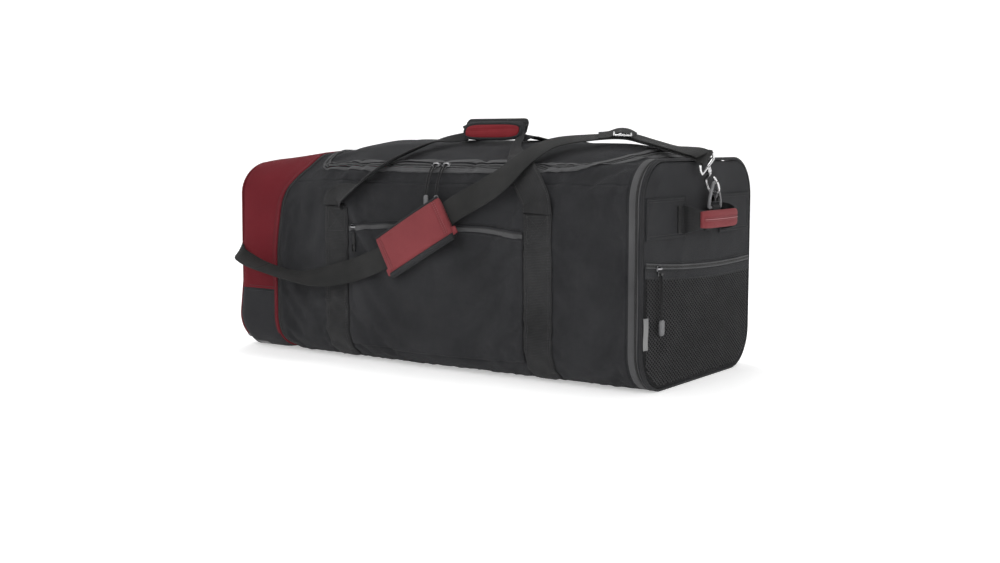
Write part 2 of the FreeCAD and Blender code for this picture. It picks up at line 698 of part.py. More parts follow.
def main():
    make_tube()
    make_wheel_box()
    make_end_pan()
    make_end_handle()
    for prefix, sign in (("pocket_end", 1), ("wheel_end", -1)):
        make_ring_and_hook(prefix, sign)
    make_main_sliders()
    make_end_pocket_slider()
    make_front_pocket()
    make_webbing_strips()
    make_carry_handles()
    make_shoulder_strap()
    os.makedirs("parts", exist_ok=True)
    for name, shape in parts.items():
        state = "ok" if shape.isValid() else "INVALID"
        print("%-24s %2d solids %10.0f mm3 %s" % (name, len(shape.Solids), shape.Volume, state))
        shape.exportStep("parts/%s.step" % name)
    print(len(parts), "nodes")


main()
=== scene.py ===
"""Looks of the rolling duffel bag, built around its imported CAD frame.

Mesh points are in millimetres until Shape.build() turns them into metres. A place on the
soft body is (x, run): run is the distance along the section, 0 at the top of the front
wall, negative down the front, positive over the crown to the back.
"""

import json
import math

import bmesh
import bpy
import numpy as np
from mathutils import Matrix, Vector

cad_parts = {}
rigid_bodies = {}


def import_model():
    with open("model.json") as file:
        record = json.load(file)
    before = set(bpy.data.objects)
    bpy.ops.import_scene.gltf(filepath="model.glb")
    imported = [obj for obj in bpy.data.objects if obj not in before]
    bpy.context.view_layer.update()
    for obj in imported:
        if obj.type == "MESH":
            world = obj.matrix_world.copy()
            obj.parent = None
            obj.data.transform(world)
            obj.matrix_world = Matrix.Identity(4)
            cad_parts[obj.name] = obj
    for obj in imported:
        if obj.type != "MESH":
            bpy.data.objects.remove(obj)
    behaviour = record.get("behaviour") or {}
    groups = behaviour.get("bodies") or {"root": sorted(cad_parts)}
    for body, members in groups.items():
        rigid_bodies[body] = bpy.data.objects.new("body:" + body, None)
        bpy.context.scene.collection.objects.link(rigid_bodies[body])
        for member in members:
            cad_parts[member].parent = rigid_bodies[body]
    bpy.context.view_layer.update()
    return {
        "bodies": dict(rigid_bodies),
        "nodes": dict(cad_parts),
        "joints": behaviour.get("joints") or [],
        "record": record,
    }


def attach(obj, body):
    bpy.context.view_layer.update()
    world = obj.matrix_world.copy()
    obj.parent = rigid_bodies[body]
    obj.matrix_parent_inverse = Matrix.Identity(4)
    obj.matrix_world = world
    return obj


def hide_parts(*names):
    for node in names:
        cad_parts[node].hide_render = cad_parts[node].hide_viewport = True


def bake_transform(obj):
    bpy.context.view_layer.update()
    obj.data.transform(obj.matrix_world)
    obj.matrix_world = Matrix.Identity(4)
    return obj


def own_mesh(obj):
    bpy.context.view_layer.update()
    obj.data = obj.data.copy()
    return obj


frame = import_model()

# ---- sizes of the CAD part ----------------------------------------------------
HALF_LENGTH = 406.0
HALF_WIDTH = 180.0
END_HEIGHT = 336.0
CROWN = 374.0
BOW = 384.0
EDGE_R = 62.0
RIM_X = -316.0
TUBE_X0 = -308.0
TUBE_X1 = 380.0
FLAT = HALF_WIDTH - EDGE_R
SHOULDER_Z = END_HEIGHT - EDGE_R
RISE = CROWN - SHOULDER_Z
CROWN_R = (FLAT ** 2 + RISE ** 2 - EDGE_R ** 2) / (2 * (RISE - EDGE_R))
CROWN_Z = CROWN - CROWN_R
SHOULDER_ANGLE = math.atan2(SHOULDER_Z - CROWN_Z, FLAT)
RUN_SHOULDER = EDGE_R * SHOULDER_ANGLE
RUN_CROWN = CROWN_R * (math.pi / 2 - SHOULDER_ANGLE)
RUN_WALL = SHOULDER_Z - EDGE_R
RUN_BEND = EDGE_R * math.pi / 2
MID = RUN_SHOULDER + RUN_CROWN
HALF_LOOP = MID + RUN_WALL + RUN_BEND + FLAT
RUN_BASE_EDGE = -RUN_WALL - RUN_BEND
STRIP_XS = (-167.0, 231.0)
WEBBING = 50.0
LID = (-290.0, 350.0, -150.0, 149.0, 80.0)
GRIP_X = 55.0

rng = np.random.default_rng(11)


def arr(*v):
    return np.array(v, float)


def unit(v):
    v = np.asarray(v, float)
    return v / np.maximum(np.linalg.norm(v, axis=-1, keepdims=True), 1e-9)


# ---- mesh building ------------------------------------------------------------
class Shape:
    """Collects quads with metric UVs and material numbers, then becomes one object."""

    def __init__(self):
        self.verts, self.faces, self.uvs, self.mats, self.count = [], [], [], [], 0

    def add(self, verts, faces, uvs=None, mat=0):
        verts = np.asarray(verts, float).reshape(-1, 3)
        self.verts.append(verts)
        for k, face in enumerate(faces):
            self.faces.append([self.count + i for i in face])
            self.uvs.append(uvs[k] if uvs is not None else [verts[i][:2] * 0.001 for i in face])
            self.mats.append(mat)
        self.count += len(verts)

    def grid(self, points, uv=None, close_u=False, close_v=False, mat=0, keep=None, flip=False):
        """points (nu, nv, 3); uv (nu + close_u, nv + close_v, 2) in metres; keep masks faces."""
        points = np.asarray(points, float)
        nu, nv = points.shape[:2]
        mu, mv = nu - 1 + close_u, nv - 1 + close_v
        if uv is None:
            ext = np.concatenate([points, points[:1]], 0) if close_u else points
            ext = np.concatenate([ext, ext[:, :1]], 1) if close_v else ext
            du = np.linalg.norm(np.diff(ext, axis=0), axis=2).mean(1)
            dv = np.linalg.norm(np.diff(ext, axis=1), axis=2).mean(0)
            cu = np.concatenate([[0], np.cumsum(du)]) * 0.001
            cv = np.concatenate([[0], np.cumsum(dv)]) * 0.001
            uv = np.stack(np.meshgrid(cu, cv, indexing="ij"), -1)
        faces, uvs = [], []
        for i in range(mu):
            for j in range(mv):
                if keep is not None and not keep[i, j]:
                    continue
                corners = [(i, j), (i + 1, j), (i + 1, j + 1), (i, j + 1)]
                if flip:
                    corners = corners[::-1]
                faces.append([(a % nu) * nv + b % nv for a, b in corners])
                uvs.append([uv[a, b] for a, b in corners])
        self.add(points.reshape(-1, 3), faces, uvs, mat)

    def sweep(self, path, side, out, profile, closed=False, mat=0, caps=True):
        """Profile of (sideways, outwards) points carried along a path."""
        path, side, out = (np.asarray(a, float) for a in (path, side, out))
        profile = np.asarray(profile, float)
        n, m = len(path), len(profile)
        if profile.ndim == 2:
            profile = np.broadcast_to(profile, (n, m, 2))
        else:
            m = profile.shape[1]
        pts = (path[:, None] + profile[:, :, :1] * side[:, None] + profile[:, :, 1:] * out[:, None])
        ring = profile[0]
        around = np.concatenate([[0], np.cumsum(np.linalg.norm(
            np.diff(np.concatenate([ring, ring[:1]]), axis=0), axis=1))]) * 0.001
        line = np.concatenate([path, path[:1]]) if closed else path
        along = np.concatenate([[0], np.cumsum(np.linalg.norm(np.diff(line, axis=0), axis=1))]) * 0.001
        uv = np.stack(np.meshgrid(along, around, indexing="ij"), -1)
        first = self.count
        self.grid(pts, uv, close_u=closed, close_v=True, mat=mat)
        if caps and not closed:
            for start, order in ((first, 1), (first + (n - 1) * m, -1)):
                ids = list(range(start, start + m))[::order]
                self.faces.append(ids)
                self.uvs.append([(0.001 * k, 0) for k in range(m)])
                self.mats.append(mat)

    def copies(self, verts, faces, places, mat=0):
        """The same little mesh at many places (origin, x axis, y axis, z axis)."""
        verts = np.asarray(verts, float)
        origin, ax, ay, az = (np.asarray(a, float) for a in places)
        pts = (origin[:, None] + verts[None, :, :1] * ax[:, None] + verts[None, :, 1:2] * ay[:, None]
               + verts[None, :, 2:] * az[:, None])
        n, m = len(origin), len(verts)
        base = self.count
        self.verts.append(pts.reshape(-1, 3))
        for k in range(n):
            for face in faces:
                self.faces.append([base + k * m + i for i in face])
                self.uvs.append([(verts[i][0] * 0.001, verts[i][1] * 0.001 + verts[i][2] * 0.001)
                                 for i in face])
                self.mats.append(mat)
        self.count += n * m

    def build(self, name, mats, thick=0.0):
        mesh = bpy.data.meshes.new(name)
        mesh.from_pydata((np.concatenate(self.verts) * 0.001).tolist(), [], self.faces)
        mesh.uv_layers.new(name="UVMap")
        flat = np.array([c for face in self.uvs for c in face], np.float32)
        mesh.uv_layers[0].data.foreach_set("uv", flat.ravel())
        mesh.polygons.foreach_set("material_index", self.mats)
        for mat in mats:
            mesh.materials.append(mat)
        obj = bpy.data.objects.new(name, mesh)
        bpy.context.scene.collection.objects.link(obj)
        if thick:
            solid_wall(obj, thick)
        smooth_shade(obj)
        obj.data.update()
        return obj


def bake(obj):
    """Applies every modifier to the mesh."""
    graph = bpy.context.evaluated_depsgraph_get()
    mesh = bpy.data.meshes.new_from_object(obj.evaluated_get(graph))
    obj.modifiers.clear()
    old = obj.data
    obj.data = mesh
    bpy.data.meshes.remove(old)


def smooth_shade(obj):
    obj.data.polygons.foreach_set("use_smooth", [True] * len(obj.data.polygons))


def solid_wall(obj, thick):
    """Gives cloth its thickness, inwards from the surface."""
    wall = obj.modifiers.new("wall", "SOLIDIFY")
    wall.thickness = thick * 0.001
    wall.offset = -1
    wall.use_quality_normals = True
    bake(obj)
    smooth_shade(obj)


def round_profile(r, m=8, squash=1.0):
    a = np.arange(m) * 2 * math.pi / m
    return np.stack([r * np.cos(a), r * squash * np.sin(a)], 1)


def flat_profile(wide, thick, r=0.5, low=0.0):
    """Ribbon section with soft edges, lying from low to low + thick."""
    w, r = wide / 2, min(r, thick / 2)
    c = 0.3 * r
    pts = [(-w, low + r), (-w + c, low + c), (-w + r, low), (-w / 3, low), (w / 3, low),
           (w - r, low), (w - c, low + c), (w, low + r),
           (w, low + thick - r), (w - c, low + thick - c), (w - r, low + thick),
           (w / 3, low + thick), (-w / 3, low + thick),
           (-w + r, low + thick), (-w + c, low + thick - c), (-w, low + thick - r)]
    return np.array(pts)


def resample(points, step, closed=False, smooth=6, extra=()):
    """Even points on a Catmull-Rom curve through the given ones, with arrays that follow it."""
    pts = np.asarray(points, float)
    data = np.concatenate([pts] + [np.asarray(e, float) for e in extra], 1)
    n = len(data)
    idx = np.arange(n if closed else n - 1)

    def pick(k):
        return data[k % n] if closed else data[np.clip(k, 0, n - 1)]

    t = np.arange(smooth)[:, None] / smooth
    rows = []
    for i in idx:
        a, b, c, d = pick(i - 1), pick(i), pick(i + 1), pick(i + 2)
        rows.append(0.5 * (2 * b + (c - a) * t + (2 * a - 5 * b + 4 * c - d) * t ** 2
                           + (3 * b - a - 3 * c + d) * t ** 3))
    line = np.concatenate(rows + [data[:1] if closed else data[-1:]])
    seg = np.linalg.norm(np.diff(line[:, :3], axis=0), axis=1)
    s = np.concatenate([[0], np.cumsum(seg)])
    count = max(2, int(round(s[-1] / step)) + 1)
    want = np.linspace(0, s[-1], count)
    if closed:
        want = want[:-1]
    out = np.stack([np.interp(want, s, line[:, k]) for k in range(line.shape[1])], 1)
    return out


def tangents(path, closed=False):
    if closed:
        return unit(np.roll(path, -1, 0) - np.roll(path, 1, 0))
    return unit(np.gradient(path, axis=0))


def frames(path, out, closed=False):
    """Side and outward unit vectors square to the path, from rough outward vectors."""
    t = tangents(path, closed)
    out = unit(out - t * (out * t).sum(1, keepdims=True))
    return unit(np.cross(t, out)), out


DASH_VERTS = [(-1, 0, 0), (-0.6, -1, 0), (-0.6, 0, 1), (-0.6, 1, 0), (-0.6, 0, -1),
              (0.6, -1, 0), (0.6, 0, 1), (0.6, 1, 0), (0.6, 0, -1), (1, 0, 0)]
DASH_FACES = [(0, 2, 1), (0, 3, 2), (0, 4, 3), (0, 1, 4), (1, 2, 6, 5), (2, 3, 7, 6),
              (3, 4, 8, 7), (4, 1, 5, 8), (9, 5, 6), (9, 6, 7), (9, 7, 8), (9, 8, 5)]


def stitches(shape, path, out, mat, pitch=4.2, length=2.9, r=0.38, lift=0.15):
    """A row of thread dashes along a path."""
    line = np.concatenate([path, out], 1)
    seg = np.linalg.norm(np.diff(line[:, :3], axis=0), axis=1)
    s = np.concatenate([[0], np.cumsum(seg)])
    if s[-1] < pitch:
        return
    want = np.arange(pitch / 2, s[-1], pitch)
    at = np.stack([np.interp(want, s, line[:, k]) for k in range(6)], 1)
    ahead = np.stack([np.interp(np.minimum(want + 1, s[-1]), s, line[:, k])
                      - np.interp(np.maximum(want - 1, 0), s, line[:, k]) for k in range(3)], 1)
    t = unit(ahead)
    n = unit(at[:, 3:] - t * (at[:, 3:] * t).sum(1, keepdims=True))
    shape.copies(DASH_VERTS, DASH_FACES, (at[:, :3] + n * lift, t * length / 2,
                                          np.cross(n, t) * r, n * r), mat)


TOOTH_VERTS = [(-.5, -1, 0), (.5, -1, 0), (.5, 1, 0), (-.5, 1, 0),
               (-.32, -.85, 1), (.32, -.85, 1), (.32, .85, 1), (-.32, .85, 1)]
TOOTH_FACES = [(3, 2, 1, 0), (4, 5, 6, 7), (0, 1, 5, 4), (1, 2, 6, 5), (2, 3, 7, 6), (3, 0, 4, 7)]


def zip_line(shape, path, out, closed=False, tape=3.0, gap=1.1, mats=(0, 1), rise=1.0, pitch=2.6):
    """Zip seen from outside: two tapes, a coil of teeth between them."""
    side, out = frames(path, out, closed)
    middle = gap + tape / 2
    for s in (-1, 1):
        shape.sweep(path + side * s * middle, side, out, flat_profile(tape, 0.9, 0.4, rise - 0.9),
                    closed, mats[0])
    shape.sweep(path, side, out, flat_profile(2 * gap + 0.6, 0.5, 0.2, rise - 1.0), closed, mats[1])
    line = np.concatenate([path, path[:1]]) if closed else path
    norm = np.concatenate([out, out[:1]]) if closed else out
    seg = np.linalg.norm(np.diff(line, axis=0), axis=1)
    s = np.concatenate([[0], np.cumsum(seg)])
    want = np.arange(pitch / 2, s[-1], pitch / 2)
    at = np.stack([np.interp(want, s, line[:, k]) for k in range(3)], 1)
    n = unit(np.stack([np.interp(want, s, norm[:, k]) for k in range(3)], 1))
    t = unit(np.gradient(at, axis=0))
    b = np.cross(t, n)
    shift = np.where(np.arange(len(want)) % 2 == 0, 0.35, -0.35)[:, None]
    shape.copies(TOOTH_VERTS, TOOTH_FACES, (at + b * shift + n * (rise - 0.6), t * pitch * 0.42,
                                            b * gap * 0.75, n * 1.0), mats[1])


# ---- materials ----------------------------------------------------------------
def nodes_of(name):
    mat = bpy.data.materials.new(name)
    mat.use_nodes = True
    tree = mat.node_tree
    return mat, tree, tree.nodes["Principled BSDF"]


def maths(tree, operation, a, b=None, clamp=False):
    made = tree.nodes.new("ShaderNodeMath")
    made.operation = operation
    made.use_clamp = clamp
    for k, value in enumerate((a, b)):
        if value is None:
            continue
        if isinstance(value, (int, float)):
            made.inputs[k].default_value = value
        else:
            tree.links.new(value, made.inputs[k])
    return made.outputs[0]


def ramp(tree, value, low, high, out_low=0.0, out_high=1.0):
    made = tree.nodes.new("ShaderNodeMapRange")
    for k, number in zip(("From Min", "From Max", "To Min", "To Max"), (low, high, out_low, out_high)):
        made.inputs[k].default_value = number
    tree.links.new(value, made.inputs["Value"])
    return made.outputs["Result"]


def mix_colour(tree, factor, a, b, blend="MIX"):
    made = tree.nodes.new("ShaderNodeMix")
    made.data_type = "RGBA"
    made.blend_type = blend
    if isinstance(factor, (int, float)):
        made.inputs["Factor"].default_value = factor
    else:
        tree.links.new(factor, made.inputs["Factor"])
    for slot, value in (("A", a), ("B", b)):
        socket = [s for s in made.inputs if s.name == slot and s.type == "RGBA"][0]
        if isinstance(value, tuple):
            socket.default_value = (*value, 1)
        else:
            tree.links.new(value, socket)
    return [s for s in made.outputs if s.type == "RGBA"][0]


def noise(tree, scale, detail=3.0, rough=0.55, coords="Object", stretch=None):
    where = tree.nodes.new("ShaderNodeTexCoord")
    source = where.outputs[coords]
    if stretch:
        mapping = tree.nodes.new("ShaderNodeMapping")
        mapping.inputs["Scale"].default_value = stretch
        tree.links.new(source, mapping.inputs["Vector"])
        source = mapping.outputs["Vector"]
    made = tree.nodes.new("ShaderNodeTexNoise")
    made.inputs["Scale"].default_value = scale
    made.inputs["Detail"].default_value = detail
    made.inputs["Roughness"].default_value = rough
    tree.links.new(source, made.inputs["Vector"])
    return made.outputs["Fac"]


def split_uv(tree):
    where = tree.nodes.new("ShaderNodeTexCoord")
    apart = tree.nodes.new("ShaderNodeSeparateXYZ")
    tree.links.new(where.outputs["UV"], apart.inputs[0])
    return apart.outputs["X"], apart.outputs["Y"]


def bump(tree, shader, height, distance, strength=1.0, under=None):
    made = tree.nodes.new("ShaderNodeBump")
    made.inputs["Distance"].default_value = distance
    made.inputs["Strength"].default_value = strength
    tree.links.new(height, made.inputs["Height"])
    if under is not None:
        tree.links.new(under, made.inputs["Normal"])
    tree.links.new(made.outputs["Normal"], shader.inputs["Normal"])
    return made.outputs["Normal"]


def cloth_mat(name, colour, light, pitch=0.0009, rough=0.78, sheen=0.25, depth=0.0002, tint=None,
              mottle=0.5):
    """Plain woven fabric: over-under threads, slubs, mottled colour, sheen and rubbed places."""
    mat, tree, shader = nodes_of(name)
    u, v = split_uv(tree)
    freq = 2 * math.pi / pitch
    su = maths(tree, "SINE", maths(tree, "MULTIPLY", u, freq / 2))
    sv = maths(tree, "SINE", maths(tree, "MULTIPLY", v, freq / 2))
    over = maths(tree, "MULTIPLY", su, sv)
    warp = maths(tree, "ABSOLUTE", maths(tree, "SINE", maths(tree, "MULTIPLY", u, freq)))
    weft = maths(tree, "ABSOLUTE", maths(tree, "SINE", maths(tree, "MULTIPLY", v, freq)))
    up = ramp(tree, over, -0.15, 0.15)
    threads = maths(tree, "ADD", maths(tree, "MULTIPLY", warp, up),
                    maths(tree, "MULTIPLY", weft, maths(tree, "SUBTRACT", 1.0, up)))
    slub = noise(tree, 900, 2, 0.6, "UV", (1, 0.06, 1))
    slub2 = noise(tree, 900, 2, 0.6, "UV", (0.06, 1, 1))
    patch = noise(tree, 9, 4, 0.6)
    fine = noise(tree, 120, 3, 0.6)
    tone = maths(tree, "ADD", maths(tree, "MULTIPLY", threads, 0.35),
                 maths(tree, "ADD", maths(tree, "MULTIPLY", ramp(tree, patch, 0.3, 0.7), mottle),
                       maths(tree, "MULTIPLY", maths(tree, "ADD", slub, slub2), 0.25)))
    tone = maths(tree, "ADD", tone, maths(tree, "MULTIPLY", fine, 0.2))
    base = mix_colour(tree, ramp(tree, tone, 0.25, 1.3), colour, light)
    if tint:
        base = mix_colour(tree, ramp(tree, noise(tree, 4, 2, 0.5), 0.35, 0.75, 0, 0.6), base, tint)
    tree.links.new(base, shader.inputs["Base Color"])
    tree.links.new(ramp(tree, tone, 0.2, 1.4, rough + 0.1, rough - 0.1), shader.inputs["Roughness"])
    shader.inputs["Sheen Weight"].default_value = 0.4 * sheen
    shader.inputs["Sheen Roughness"].default_value = 0.45
    shader.inputs["Sheen Tint"].default_value = (*[min(1, c * 5 + 0.25) for c in light], 1)
    shader.inputs["Specular IOR Level"].default_value = 0.1
    wrinkle = noise(tree, 28, 3, 0.5)
    first = bump(tree, shader, wrinkle, 0.0012, 0.35)
    bump(tree, shader, threads, depth, 0.9, first)
    return mat


def web_mat(name, colour, light, rib=0.0023, across=0.0011, rough=0.7, sheen=0.2):
    """Woven webbing: lengthwise ribs with a fine herringbone across them."""
    mat, tree, shader = nodes_of(name)
    u, v = split_uv(tree)
    ribs = maths(tree, "ABSOLUTE", maths(tree, "SINE", maths(tree, "MULTIPLY", v, math.pi / rib)))
    slope = maths(tree, "MULTIPLY", maths(tree, "PINGPONG", v, rib), 1.4)
    picks = maths(tree, "ABSOLUTE", maths(tree, "SINE", maths(
        tree, "MULTIPLY", maths(tree, "ADD", u, slope), math.pi / across)))
    height = maths(tree, "ADD", maths(tree, "MULTIPLY", ribs, 0.7), maths(tree, "MULTIPLY", picks, 0.45))
    patch = noise(tree, 14, 3, 0.6)
    tone = maths(tree, "ADD", maths(tree, "MULTIPLY", height, 0.5),
                 maths(tree, "MULTIPLY", ramp(tree, patch, 0.3, 0.7), 0.4))
    base = mix_colour(tree, ramp(tree, tone, 0.15, 0.95), colour, light)
    tree.links.new(base, shader.inputs["Base Color"])
    tree.links.new(ramp(tree, tone, 0.1, 1.0, rough + 0.1, rough - 0.1), shader.inputs["Roughness"])
    shader.inputs["Sheen Weight"].default_value = 0.3 * sheen
    shader.inputs["Specular IOR Level"].default_value = 0.1
    bump(tree, shader, height, 0.00035, 0.9)
    return mat


def plain_mat(name, colour, light, rough=0.45, metal=0.0, grain=240, depth=0.00012, wear=None,
              spec=0.45, coat=0.0):
    """Moulded plastic, rubber or metal: fine grain, mottled tone and worn edges."""
    mat, tree, shader = nodes_of(name)
    patch = noise(tree, 22, 4, 0.6)
    fine = noise(tree, grain, 3, 0.6)
    tone = maths(tree, "ADD", maths(tree, "MULTIPLY", patch, 0.6), maths(tree, "MULTIPLY", fine, 0.5))
    base = mix_colour(tree, ramp(tree, tone, 0.3, 0.8), colour, light)
    if wear:
        shape = tree.nodes.new("ShaderNodeNewGeometry")
        edge = ramp(tree, maths(tree, "ADD", shape.outputs["Pointiness"],
                                maths(tree, "MULTIPLY", fine, 0.05)), 0.53, 0.62)
        base = mix_colour(tree, edge, base, wear)
    tree.links.new(base, shader.inputs["Base Color"])
    tree.links.new(ramp(tree, tone, 0.3, 0.8, rough + 0.08, rough - 0.08), shader.inputs["Roughness"])
    shader.inputs["Metallic"].default_value = metal
    shader.inputs["Specular IOR Level"].default_value = spec
    shader.inputs["Coat Weight"].default_value = coat
    bump(tree, shader, fine, depth, 0.6)
    return mat


M = {
    "black": cloth_mat("black_fabric", (0.0125, 0.0126, 0.0138), (0.033, 0.0333, 0.0357), sheen=0.14),
    "red": cloth_mat("red_fabric", (0.088, 0.0080, 0.0120), (0.165, 0.0145, 0.021), sheen=0.06,
                     tint=(0.115, 0.010, 0.015)),
    "box_black": cloth_mat("box_lower_fabric", (0.015, 0.015, 0.0165), (0.034, 0.034, 0.037), sheen=0.15),
    "webbing": web_mat("webbing", (0.012, 0.012, 0.0125), (0.034, 0.034, 0.035), sheen=0.12),
    "strap": web_mat("strap_webbing", (0.012, 0.012, 0.012), (0.030, 0.030, 0.0295), rib=0.0019, sheen=0.1),
    "red_piping": cloth_mat("red_piping", (0.085, 0.009, 0.013), (0.16, 0.017, 0.024), pitch=0.0007),
    "black_piping": cloth_mat("black_piping", (0.013, 0.013, 0.014), (0.036, 0.036, 0.038), pitch=0.0007),
    "tape": web_mat("zip_tape", (0.046, 0.046, 0.0477), (0.090, 0.090, 0.0925), rib=0.0011, across=0.0008),
    "coil": plain_mat("zip_coil", (0.006, 0.006, 0.006), (0.016, 0.016, 0.017), 0.42),
    "thread": plain_mat("thread", (0.02, 0.02, 0.021), (0.055, 0.055, 0.057), 0.7, grain=1200),
    "red_thread": plain_mat("red_thread", (0.20, 0.06, 0.065), (0.36, 0.13, 0.14), 0.7, grain=1200),
    "pad_red": cloth_mat("pad_red", (0.142, 0.029, 0.033), (0.245, 0.053, 0.058), sheen=0.2, mottle=0.35),
    "grip_red": cloth_mat("grip_red", (0.10, 0.009, 0.012), (0.21, 0.020, 0.026), sheen=0.1),
    "cord": web_mat("pull_cord", (0.010, 0.010, 0.010), (0.035, 0.035, 0.036), rib=0.0009, across=0.0009),
    "tip": plain_mat("pull_tip", (0.085, 0.085, 0.088), (0.15, 0.15, 0.155), 0.55, wear=(0.25, 0.25, 0.26)),
    "slider": plain_mat("zip_slider", (0.03, 0.03, 0.031), (0.08, 0.08, 0.083), 0.32, 0.7,
                        wear=(0.45, 0.45, 0.46)),
    "steel": plain_mat("steel", (0.40, 0.40, 0.41), (0.62, 0.62, 0.63), 0.26, 1.0, wear=(0.8, 0.8, 0.8)),
    "ring": plain_mat("ring_plastic", (0.085, 0.085, 0.09), (0.155, 0.155, 0.16), 0.42,
                      wear=(0.26, 0.26, 0.27)),
    "housing": plain_mat("housing", (0.020, 0.020, 0.021), (0.045, 0.045, 0.047), 0.48,
                         wear=(0.12, 0.12, 0.12)),
    "hub": plain_mat("hub", (0.04, 0.04, 0.042), (0.075, 0.075, 0.078), 0.42, wear=(0.16, 0.16, 0.16)),
    "tyre": plain_mat("tyre", (0.010, 0.010, 0.010), (0.028, 0.028, 0.028), 0.82, grain=500,
                      depth=0.0003, spec=0.25),
    "tag": web_mat("tag", (0.15, 0.15, 0.15), (0.27, 0.27, 0.27), rib=0.0012),
    "foam": cloth_mat("mesh_backing", (0.008, 0.008, 0.0085), (0.018, 0.018, 0.019), sheen=0.05),
    "net": web_mat("net_yarn", (0.035, 0.035, 0.036), (0.07, 0.07, 0.072), rib=0.0006),
}


# ---- the soft body's surface --------------------------------------------------
def section(run):
    """(y, z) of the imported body's section at a run, without the bow along the bag."""
    d = np.mod(np.asarray(run, float) - MID + HALF_LOOP, 2 * HALF_LOOP) - HALF_LOOP
    sign = np.where(d < 0, -1.0, 1.0)
    a = np.abs(d)
    y = CROWN_R * np.sin(a / CROWN_R)
    z = CROWN_Z + CROWN_R * np.cos(a / CROWN_R)
    t = a - RUN_CROWN
    angle = SHOULDER_ANGLE - t / EDGE_R
    y = np.where(t > 0, FLAT + EDGE_R * np.cos(angle), y)
    z = np.where(t > 0, SHOULDER_Z + EDGE_R * np.sin(angle), z)
    t = t - RUN_SHOULDER
    y = np.where(t > 0, HALF_WIDTH, y)
    z = np.where(t > 0, SHOULDER_Z - t, z)
    t = t - RUN_WALL
    y = np.where(t > 0, FLAT + EDGE_R * np.cos(t / EDGE_R), y)
    z = np.where(t > 0, EDGE_R - EDGE_R * np.sin(t / EDGE_R), z)
    t = t - RUN_BEND
    y = np.where(t > 0, FLAT - t, y)
    z = np.where(t > 0, 0.0, z)
    return sign * y, z


def run_at(y):
    """Run of a place on the top, from its y."""
    a = np.abs(y)
    edge = FLAT + EDGE_R * math.cos(SHOULDER_ANGLE)
    crown = CROWN_R * np.arcsin(np.clip(a / CROWN_R, 0, 1))
    turn = np.arccos(np.clip((a - FLAT) / EDGE_R, -1, 1))
    d = np.where(a < edge, crown, RUN_CROWN + (SHOULDER_ANGLE - turn) * EDGE_R)
    return MID + np.sign(y) * d


NX, NR = 88, 164
DX = (TUBE_X1 - TUBE_X0) / (NX - 1)
DR = 2 * HALF_LOOP / NR
RUN_0 = MID - HALF_LOOP


def rest_form():
    """Grid of the stuffed tube: (NX, NR, 3)."""
    xs = TUBE_X0 + DX * np.arange(NX)
    y, z = section(RUN_0 + DR * np.arange(NR))
    sag = BOW - END_HEIGHT
    half = (TUBE_X1 - RIM_X) / 2
    big = (half ** 2 + sag ** 2) / (2 * sag)
    bow = BOW - big + np.sqrt(big ** 2 - (xs - (TUBE_X1 + RIM_X) / 2) ** 2)
    soft = 12.0
    form = np.zeros((NX, NR, 3))
    form[..., 0] = xs[:, None]
    form[..., 1] = y
    low = -soft * np.log(np.exp(-z[None] / soft) + np.exp(-bow[:, None] / soft))
    form[..., 2] = np.where(z[None] > 250, low, z[None])
    return form


def stuff(form):
    """Cloth simulation of the stuffed tube; returns how far each grid point moved."""
    quads = []
    for i in range(NX - 1):
        for j in range(NR):
            a, b = i * NR + j, i * NR + (j + 1) % NR
            quads.append((a, b, b + NR, a + NR))
    mesh = bpy.data.meshes.new("stuffing")
    mesh.from_pydata((form.reshape(-1, 3) * 0.001).tolist(), [], quads)
    obj = bpy.data.objects.new("stuffing", mesh)
    bpy.context.scene.collection.objects.link(obj)
    pins = obj.vertex_groups.new(name="pins")
    runs = RUN_0 + DR * np.arange(NR)
    for i in range(NX):
        x = TUBE_X0 + DX * i
        on_strip = min(abs(abs(x - s) - WEBBING / 2) for s in STRIP_XS) < 5
        for j in range(NR):
            weight = 0.13
            if form[i, j, 2] < 3:
                weight = 1.0
            elif i in (0, NX - 1):
                weight = 1.0
            elif on_strip and form[i, j, 2] < 256:
                weight = 0.5
            elif abs(abs(runs[j] - MID) - (MID - 57)) < 5 and -290 < x < 350:
                weight = 0.35
            pins.add([i * NR + j], weight, "REPLACE")
    mod = obj.modifiers.new("cloth", "CLOTH")
    cloth = mod.settings
    cloth.quality = 5
    cloth.mass = 0.3
    cloth.tension_stiffness = 20
    cloth.compression_stiffness = 15
    cloth.shear_stiffness = 8
    cloth.bending_stiffness = 1.2
    cloth.vertex_group_mass = "pins"
    cloth.use_pressure = True
    cloth.uniform_pressure_force = 1.2
    cloth.shrink_min = -0.016
    cloth.effector_weights.gravity = 0.15
    mod.collision_settings.use_self_collision = False
    scene = bpy.context.scene
    scene.frame_start, scene.frame_end = 1, 18
    mod.point_cache.frame_start, mod.point_cache.frame_end = 1, 18
    for step in range(1, 17):
        scene.frame_set(step)
    moved = obj.evaluated_get(bpy.context.evaluated_depsgraph_get()).to_mesh()
    co = np.zeros(len(moved.vertices) * 3)
    moved.vertices.foreach_get("co", co)
    shift = co.reshape(NX, NR, 3) * 1000 - form
    bpy.data.objects.remove(obj)
    scene.frame_set(1)
    reach = np.linalg.norm(shift, axis=2, keepdims=True)
    cap = 8.0
    return shift * np.minimum(1, cap * np.tanh(reach / cap) / np.maximum(reach, 1e-6))


def ridge(x, run, place, angle, long, wide, height):
    """One long soft fold: a bump along a line at an angle to X, in degrees."""
    c, s = math.cos(math.radians(angle)), math.sin(math.radians(angle))
    dx, dr = x - place[0], run - place[1]
    along, off = dx * c + dr * s, -dx * s + dr * c
    return height * np.exp(-(along / long) ** 2 - (off / wide) ** 2)


